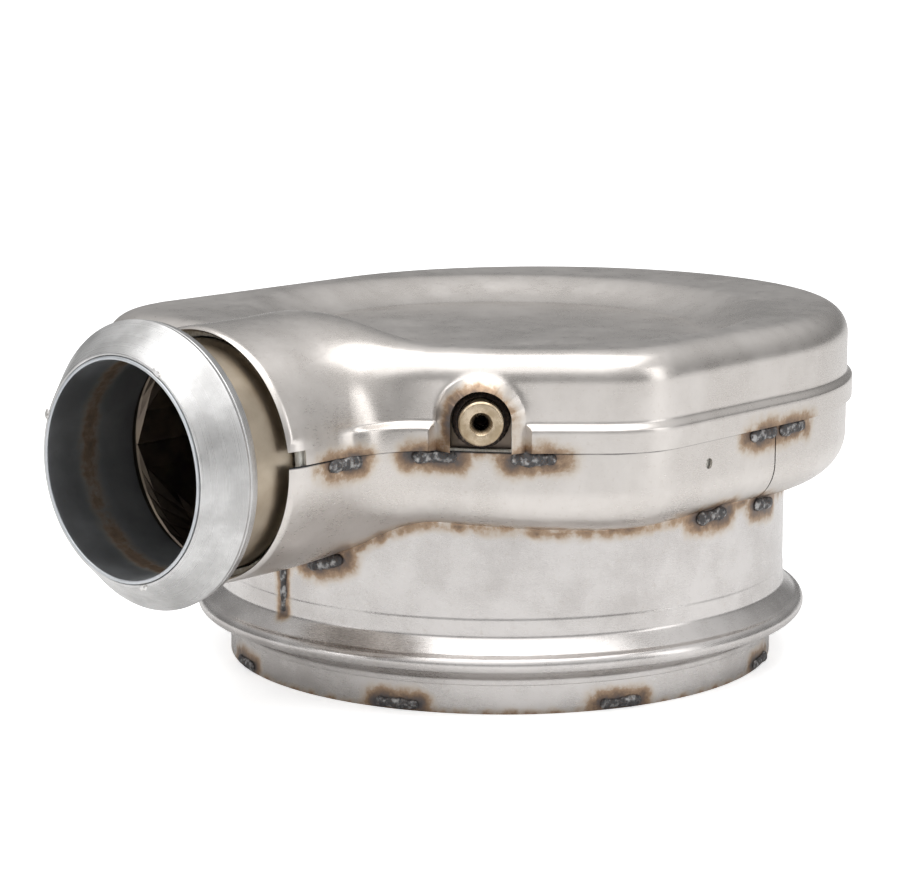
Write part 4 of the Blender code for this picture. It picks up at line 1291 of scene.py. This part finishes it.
class Finish(Nodes):
    """A material under construction."""

    def __init__(self, name):
        self.made = bpy.data.materials.new(name)
        self.made.use_nodes = True
        super().__init__(self.made.node_tree, "Object")
        self.shader = self.tree.nodes["Principled BSDF"]

    def field(self, name):
        made = self.node("ShaderNodeAttribute", attribute_name=name, attribute_type="GEOMETRY")
        return made.outputs["Fac"]

    def surface(self, colour, metallic, roughness):
        self.fill(self.shader, Base_Color=colour, Metallic=metallic, Roughness=roughness)

    def bump(self, height, distance):
        made = self.node("ShaderNodeBump")
        self.fill(made, Distance=distance, Height=height)
        self.fill(self.shader, Normal=made.outputs["Normal"])
        return self.made


def weld_heat(f, blotch, tint):
    """The colour of heat beside the welds, ragged and uneven."""
    ragged = f.noise(RAGGED_SCALE, 5.0, None, 0.7)
    uneven = f.add(f.times(f.spread(blotch, 0.3, 0.7), 0.45), f.times(ragged, 1.5))
    heat = f.times(f.field("weld_tint"), f.add(uneven, -0.02))
    return f.times(heat, tint, clamp=True)


def seam_shadow(f, blotch):
    """Painted shadow: the dark line along the seam, just under the lip."""
    height = f.add(f.split(f.coords)["Z"], f.times(blotch, SEAM_LINE_WANDER))
    return f.spread(height, LIP_Z - SEAM_LINE_HEIGHT, LIP_Z)


def tinted_steel(name, pale, deep, rough, brush, tint=1.0, seam=False):
    """Satin stainless steel: cloudy colour, fine brushing, heat colours beside the welds, and painted shade.
    """
    f = Finish(name)
    blotch = f.noise(BLOTCH_SCALE, 5.0)
    fine = f.noise(FINE_SCALE, 4.0)
    lines = f.noise(BRUSH_SCALE, 3.0, f.stretched(brush))
    cloudy = f.add(f.times(f.noise(CLOUD_SCALE, 4.0), 0.6), f.times(blotch, 0.4))
    heat = weld_heat(f, blotch, tint)
    cover = f.spread(heat, 0.10, 0.46, 0.0, 0.92)
    # Painted shade: a shadow line under the lip on the pans, else the painted shade kept on the points
    painted_shade = seam_shadow(f, blotch) if seam else f.field("painted_shade")
    base = f.mix(f.spread(cloudy, 0.36, 0.66), deep, pale)
    base = f.mix(f.times(f.spread(fine, 0.56, 0.80), 0.16), base, STAIN_COLOUR)
    base = f.mix(cover, base, f.ramp(heat, HEAT_STOPS))
    patchy = f.add(f.times(f.minus(cloudy, 0.5), 0.28), rough)
    patchy = f.add(patchy, f.times(f.minus(lines, 0.5), 0.16))
    patchy = f.add(patchy, f.times(cover, 0.16))
    metallic = f.minus(1.0, f.times(f.spread(heat, 0.55, 0.95), 0.6))
    f.surface(f.mix(painted_shade, base, PAINTED_SHADE_COLOUR), metallic, f.add(patchy, f.times(painted_shade, 0.25), clamp=True))
    return f.bump(f.add(f.times(lines, 0.6), f.times(fine, 0.4)), STEEL_RELIEF)


def turned_steel(name):
    """Bright steel with the fine rings that a lathe leaves about the inlet axis."""
    f = Finish(name)
    place = f.split(f.coords)
    rise = f.minus(place["Z"], INLET_Z)
    radius = f.math("SQRT", f.add(f.times(place["X"], place["X"]), f.times(rise, rise)))
    rings = f.node("ShaderNodeCombineXYZ")
    f.fill(rings, X=radius, Y=place["Y"])
    lines = f.noise(TURNING_SCALE, 2.0, rings.outputs["Vector"])
    cloud = f.noise(BLOTCH_SCALE, 4.0)
    heat = f.times(f.field("weld_tint"), f.add(cloud, 0.45), clamp=True)
    base = f.mix(f.spread(cloud, 0.35, 0.65), TURNED_DEEP, TURNED_PALE)
    base = f.mix(f.spread(heat, 0.2, 0.6, 0.0, 0.85), base, f.ramp(heat, HEAT_STOPS))
    f.surface(base, 1.0, f.add(f.times(lines, 0.18), 0.20))
    tangent = f.node("ShaderNodeTangent", direction_type="RADIAL", axis="Y")
    f.fill(f.shader, Anisotropic=0.8, Tangent=tangent.outputs["Tangent"])
    return f.bump(lines, TURNED_RELIEF)


def weld_metal(name, dark, bright, share=0.55):
    """Dark scaly weld with bright lumps where the scale came off."""
    f = Finish(name)
    patch = f.noise(WELD_PATCH_SCALE, 5.0)
    fine = f.noise(WELD_GRAIN_SCALE, 4.0)
    lit = f.spread(patch, share - 0.10, share + 0.12)
    base = f.mix(f.times(f.spread(fine, 0.52, 0.7), 0.55), f.mix(lit, dark, bright), RUST_COLOUR)
    f.surface(base, f.spread(lit, 0.0, 1.0, 0.55, 1.0), f.spread(lit, 0.0, 1.0, 0.62, 0.30))
    return f.bump(f.add(patch, fine), WELD_RELIEF)


def boss_metal():
    f = Finish("boss_gold_look")
    cloud = f.noise(BOSS_CLOUD_SCALE, 4.0)
    fine = f.noise(FINE_SCALE, 4.0)
    base = f.mix(f.spread(cloud, 0.35, 0.68), BOSS_DEEP, BOSS_PALE)
    base = f.mix(f.times(f.spread(fine, 0.5, 0.75), 0.3), base, RUST_COLOUR)
    # Painted shade turns the bore near black
    f.surface(f.mix(f.field("painted_shade"), base, BOSS_HOLE_SHADE), 1.0, f.spread(cloud, 0.3, 0.7, 0.36, 0.22))
    return f.bump(fine, STEEL_RELIEF)


def soft_fibre(name, pale, deep):
    """Felted fibre: short strands at a millimetre or two, and no shine."""
    f = Finish(name)
    strands = f.noise(FIBRE_SCALE, 6.0, f.stretched((1.0, 1.0, 0.25)), 0.7)
    lumps = f.noise(FIBRE_LUMP_SCALE, 3.0)
    base = f.mix(f.spread(strands, 0.35, 0.65), deep, pale)
    f.surface(base, 0.0, f.spread(lumps, 0.3, 0.7, 0.85, 1.0))
    return f.bump(f.add(strands, lumps), FIBRE_RELIEF)


def cell_edge(f, coordinate):
    """One on the walls of the honeycomb along one axis, nought in the cells."""
    phase = f.math("FRACT", f.math("DIVIDE", coordinate, CELL_PITCH))
    return f.spread(f.math("ABSOLUTE", f.minus(phase, 0.5)), 0.36, 0.42)


def honeycomb():
    """The coated brick: square cells seen on both ends with painted shade in them, and plain ceramic round
    the side.
    """
    f = Finish("honeycomb_look")
    place = f.split(f.coords)
    walls = f.math("MAXIMUM", cell_edge(f, place["X"]), cell_edge(f, place["Y"]))
    normal = f.split(f.node("ShaderNodeNewGeometry").outputs["Normal"])
    ends = f.spread(f.math("ABSOLUTE", normal["Z"]), 0.4, 0.6)
    open_cell = f.times(ends, f.minus(1.0, walls))
    cloud = f.noise(CLOUD_SCALE, 4.0)
    base = f.mix(f.spread(cloud, 0.35, 0.65), COATING_DEEP, COATING_PALE)
    # Painted shade fills the open cells.
    f.surface(f.mix(open_cell, base, CELL_SHADE), 0.0, f.spread(cloud, 0.3, 0.7, 0.85, 0.97))
    return f.bump(f.minus(1.0, open_cell), CELL_RELIEF)


# Stage


def point_at(made, direction):
    made.rotation_euler = direction.to_track_quat("-Z", "Y").to_euler()


def make_camera():
    data = bpy.data.cameras.new("photo_camera")
    data.lens = CAMERA_LENS
    data.sensor_width = SENSOR_WIDTH
    made = bpy.data.objects.new("photo_camera", data)
    bpy.context.scene.collection.objects.link(made)
    level = math.cos(CAMERA_ELEVATION)
    rise = math.sin(CAMERA_ELEVATION)
    back = Vector((math.sin(CAMERA_AZIMUTH) * level, -math.cos(CAMERA_AZIMUTH) * level, rise))
    made.location = CAMERA_AIM + CAN_AXIS + back * CAMERA_DISTANCE
    point_at(made, -back)
    bpy.context.scene.camera = made


def make_world():
    """White behind the part for the camera, and a soft room for everything else."""
    world = bpy.data.worlds.new("studio")
    bpy.context.scene.world = world
    world.use_nodes = True
    w = Nodes(world.node_tree, "Generated")
    grey = w.ramp(w.split(w.coords)["Z"], [(place, (level,) * 3) for place, level in ROOM_STOPS])
    facing = w.node("ShaderNodeVectorMath", operation="DOT_PRODUCT")
    facing.inputs[1].default_value = TOWARD_CAMERA
    w.put(w.coords, facing.inputs[0])
    front = w.spread(facing.outputs["Value"], -ROOM_TURN, ROOM_TURN, BACK_OF_ROOM, FRONT_OF_ROOM, "LINEAR")
    shade = w.node("ShaderNodeVectorMath", operation="SCALE")
    w.put(grey, shade.inputs[0])
    w.fill(shade, Scale=front)
    room = w.tree.nodes["Background"]
    w.fill(room, Color=shade.outputs["Vector"], Strength=ROOM_STRENGTH)
    white = w.node("ShaderNodeBackground")
    w.fill(white, Color=WHITE, Strength=1.0)
    mix = w.node("ShaderNodeMixShader")
    w.fill(mix, Fac=w.node("ShaderNodeLightPath").outputs["Is Camera Ray"])
    w.put(room.outputs["Background"], mix.inputs[1])
    w.put(white.outputs["Background"], mix.inputs[2])
    w.fill(w.tree.nodes["World Output"], Surface=mix.outputs["Shader"])


def add_lamp(name, kind, power):
    data = bpy.data.lights.new(name, kind)
    data.energy = power
    made = bpy.data.objects.new(name, data)
    bpy.context.scene.collection.objects.link(made)
    return made


def softbox(name, power, sideways, toward, height, width, tall):
    made = add_lamp(name, "AREA", power)
    made.data.shape = "RECTANGLE"
    made.data.size = width
    made.data.size_y = tall
    made.location = CAN_AXIS + CAMERA_RIGHT * sideways + TOWARD_CAMERA * toward + Vector((0, 0, height))
    point_at(made, CAN_AXIS + Vector((0, 0, 0.12)) - made.location)


def make_lights():
    softbox("top_box", TOP_POWER, sideways=0.0, toward=0.15, height=1.5, width=1.6, tall=1.1)
    softbox("left_box", LEFT_POWER, sideways=-1.5, toward=0.9, height=0.75, width=0.5, tall=1.2)
    softbox("right_box", RIGHT_POWER, sideways=1.5, toward=0.7, height=0.7, width=0.45, tall=1.2)
    fill = add_lamp("fill_sun", "SUN", FILL_POWER)
    fill.data.angle = math.radians(70.0)
    point_at(fill, -(Vector(UP) + TOWARD_CAMERA * 0.35 - CAMERA_RIGHT * 0.15))


def make_floor():
    far = FLOOR_REACH
    corners = [(-far, -far, 0.0), (far, -far, 0.0), (far, far, 0.0), (-far, far, 0.0)]
    floor = add_object("studio_floor", mesh_from("studio_floor", corners, [(0, 1, 2, 3)]))
    f = Finish("floor_paper")
    grain = f.noise(40.0, 2.0)
    f.surface(f.mix(grain, FLOOR_DEEP, FLOOR_PALE), 0.0, f.spread(grain, 0.0, 1.0, 0.8, 0.9))
    seen = f.node("ShaderNodeLightPath").outputs["Is Camera Ray"]
    f.fill(f.shader, Emission_Color=WHITE, Emission_Strength=f.times(seen, FLOOR_GLOW))
    floor.data.materials.append(f.made)


# The dressed part


def dress(piece, node, finish):
    """Put a piece in a node's place, with its finish."""
    piece.data.materials.clear()
    piece.data.materials.append(finish)
    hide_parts(node)
    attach(piece, "root")


def give(nodes, finish):
    """A better finish for CAD nodes that stay."""
    for node in nodes:
        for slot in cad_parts[node].material_slots:
            slot.material = finish


def dress_welds():
    """Dress all welds, and tell where each one gave its heat."""
    dark = weld_metal("weld_look", WELD_DARK, WELD_LUMP)
    rough = weld_metal("flange_weld_look", FLANGE_WELD_DARK, FLANGE_WELD_LUMP, 0.50)
    bright = weld_metal("tack_look", TACK_DARK, TACK_LUMP, 0.42)
    burnt = weld_metal("boss_weld_look", BOSS_WELD_DARK, BOSS_WELD_LUMP, 0.62)
    groups = (
        (seam_stitches(), dark),
        (can_stitches(), dark),
        (rim_stitches(), dark),
        ([can_seam()], dark),
        (liner_tacks(), bright),
        ([flange_ring()], rough),
        ([boss_ring()], burnt),
    )
    sources = []
    for group, finish in groups:
        for piece, node, path, halo in group:
            dress(piece, node, finish)
            sources.append((path, halo, TACK_TINT if finish == bright else 1.0))
    return sources


def dress_shells(sources):
    steel = tinted_steel("shield_look", SHIELD_PALE, SHIELD_DEEP, SHIELD_ROUGH, SHIELD_BRUSH)
    # The pans carry a painted shadow line under the lip.
    pan_steel = tinted_steel("pan_look", SHIELD_PALE, SHIELD_DEEP, SHIELD_ROUGH, SHIELD_BRUSH, seam=True)
    shells = (
        (shield_upper(), "shield_upper", steel),
        (lower_shell("front_pan", False), "shield_lower_front", pan_steel),
        (lower_shell("rear_pan", True), "shield_lower_rear", pan_steel),
    )
    for piece, node, finish in shells:
        dress(piece, node, finish)
        set_sharp(piece, 35.0)
        mark_heat(piece, sources)


def dress_can(sources, steel):
    for piece, node in ((can_piece(), "can_body"), (pilot_piece(), "pilot_ring")):
        dress(piece, node, steel)
        mark_heat(piece, sources)


def inlet_radius(piece):
    points = mesh_points(piece)
    return np.hypot(points[:, 0], points[:, 2] - INLET_Z)


def dress_inlet(sources):
    """Liner, pipe and flange, with painted shade on their inner faces."""
    liner_steel = tinted_steel("liner_look", LINER_PALE, LINER_DEEP, LINER_ROUGH, TUBE_BRUSH)
    tube_steel = tinted_steel("tube_look", TUBE_PALE, TUBE_DEEP, TUBE_ROUGH, TUBE_BRUSH, TUBE_TINT)
    liner = liner_piece()
    dress(liner, "inlet_liner", liner_steel)
    mark_heat(liner, sources)
    # Painted shade inside the liner, darker further in
    inside = inlet_radius(liner) < LINER_BORE_RADIUS + LINER_SHEET / 2
    depth = (mesh_points(liner)[:, 1] - MOUTH_CENTRE.y) / LINER_LENGTH
    set_field(liner, "painted_shade", inside * LINER_PAINTED_SHADE * np.clip(depth, 0.0, 1.0) ** 1.5)
    pipe = pipe_piece()
    dress(pipe, "inlet_pipe", tube_steel)
    mark_heat(pipe, sources)
    # Painted shade on the inner face of the pipe
    set_field(pipe, "painted_shade", (inlet_radius(pipe) < PIPE_RADIUS - PIPE_SHEET / 2) * PIPE_PAINTED_SHADE)
    flange = flange_piece()
    dress(flange, "inlet_flange", turned_steel("flange_look"))
    mark_heat(flange, sources)


def dress_boss():
    """The boss, black inside its hole with painted shade."""
    boss = boss_piece()
    dress(boss, "sensor_boss", boss_metal())
    out = np.array(FRONT_NORMAL)
    local = mesh_points(boss) - np.array(tuple(front_frame().translation))
    height = local @ out
    radius = np.linalg.norm(local - height[:, None] * out, axis=1)
    below_mouth = height < BOSS_PROUD - BOSS_MOUTH_DEPTH * 0.8
    # Painted shade in the bore, below its mouth
    set_field(boss, "painted_shade", (radius < BOSS_BORE_RADIUS + 0.0004) * below_mouth * 1.0)


def dress_inside(can_steel):
    blanket = soft_fibre("blanket_look", BLANKET_PALE, BLANKET_DEEP)
    dress(blanket_upper(), "insulation_upper", blanket)
    give(["insulation_lower"], blanket)
    give(["support_mat"], soft_fibre("mat_look", MAT_PALE, MAT_DEEP))
    chamber = tinted_steel("chamber_look", TUBE_DEEP, INNER_DEEP, CHAMBER_ROUGH, CHAMBER_BRUSH)
    give(["inner_head_upper", "inner_head_lower"], chamber)
    give(["brick_sleeve"], can_steel)
    give(["catalyst_brick"], honeycomb())


def build_all():
    sources = dress_welds()
    dress_shells(sources)
    sources += can_stains()
    can_steel = tinted_steel("can_look", CAN_PALE, CAN_DEEP, CAN_ROUGH, CAN_BRUSH)
    dress_can(sources, can_steel)
    dress_inlet(sources)
    dress_boss()
    dress_inside(can_steel)


bpy.context.scene.view_settings.view_transform = "Standard"
make_camera()
make_world()
make_lights()
make_floor()
build_all()
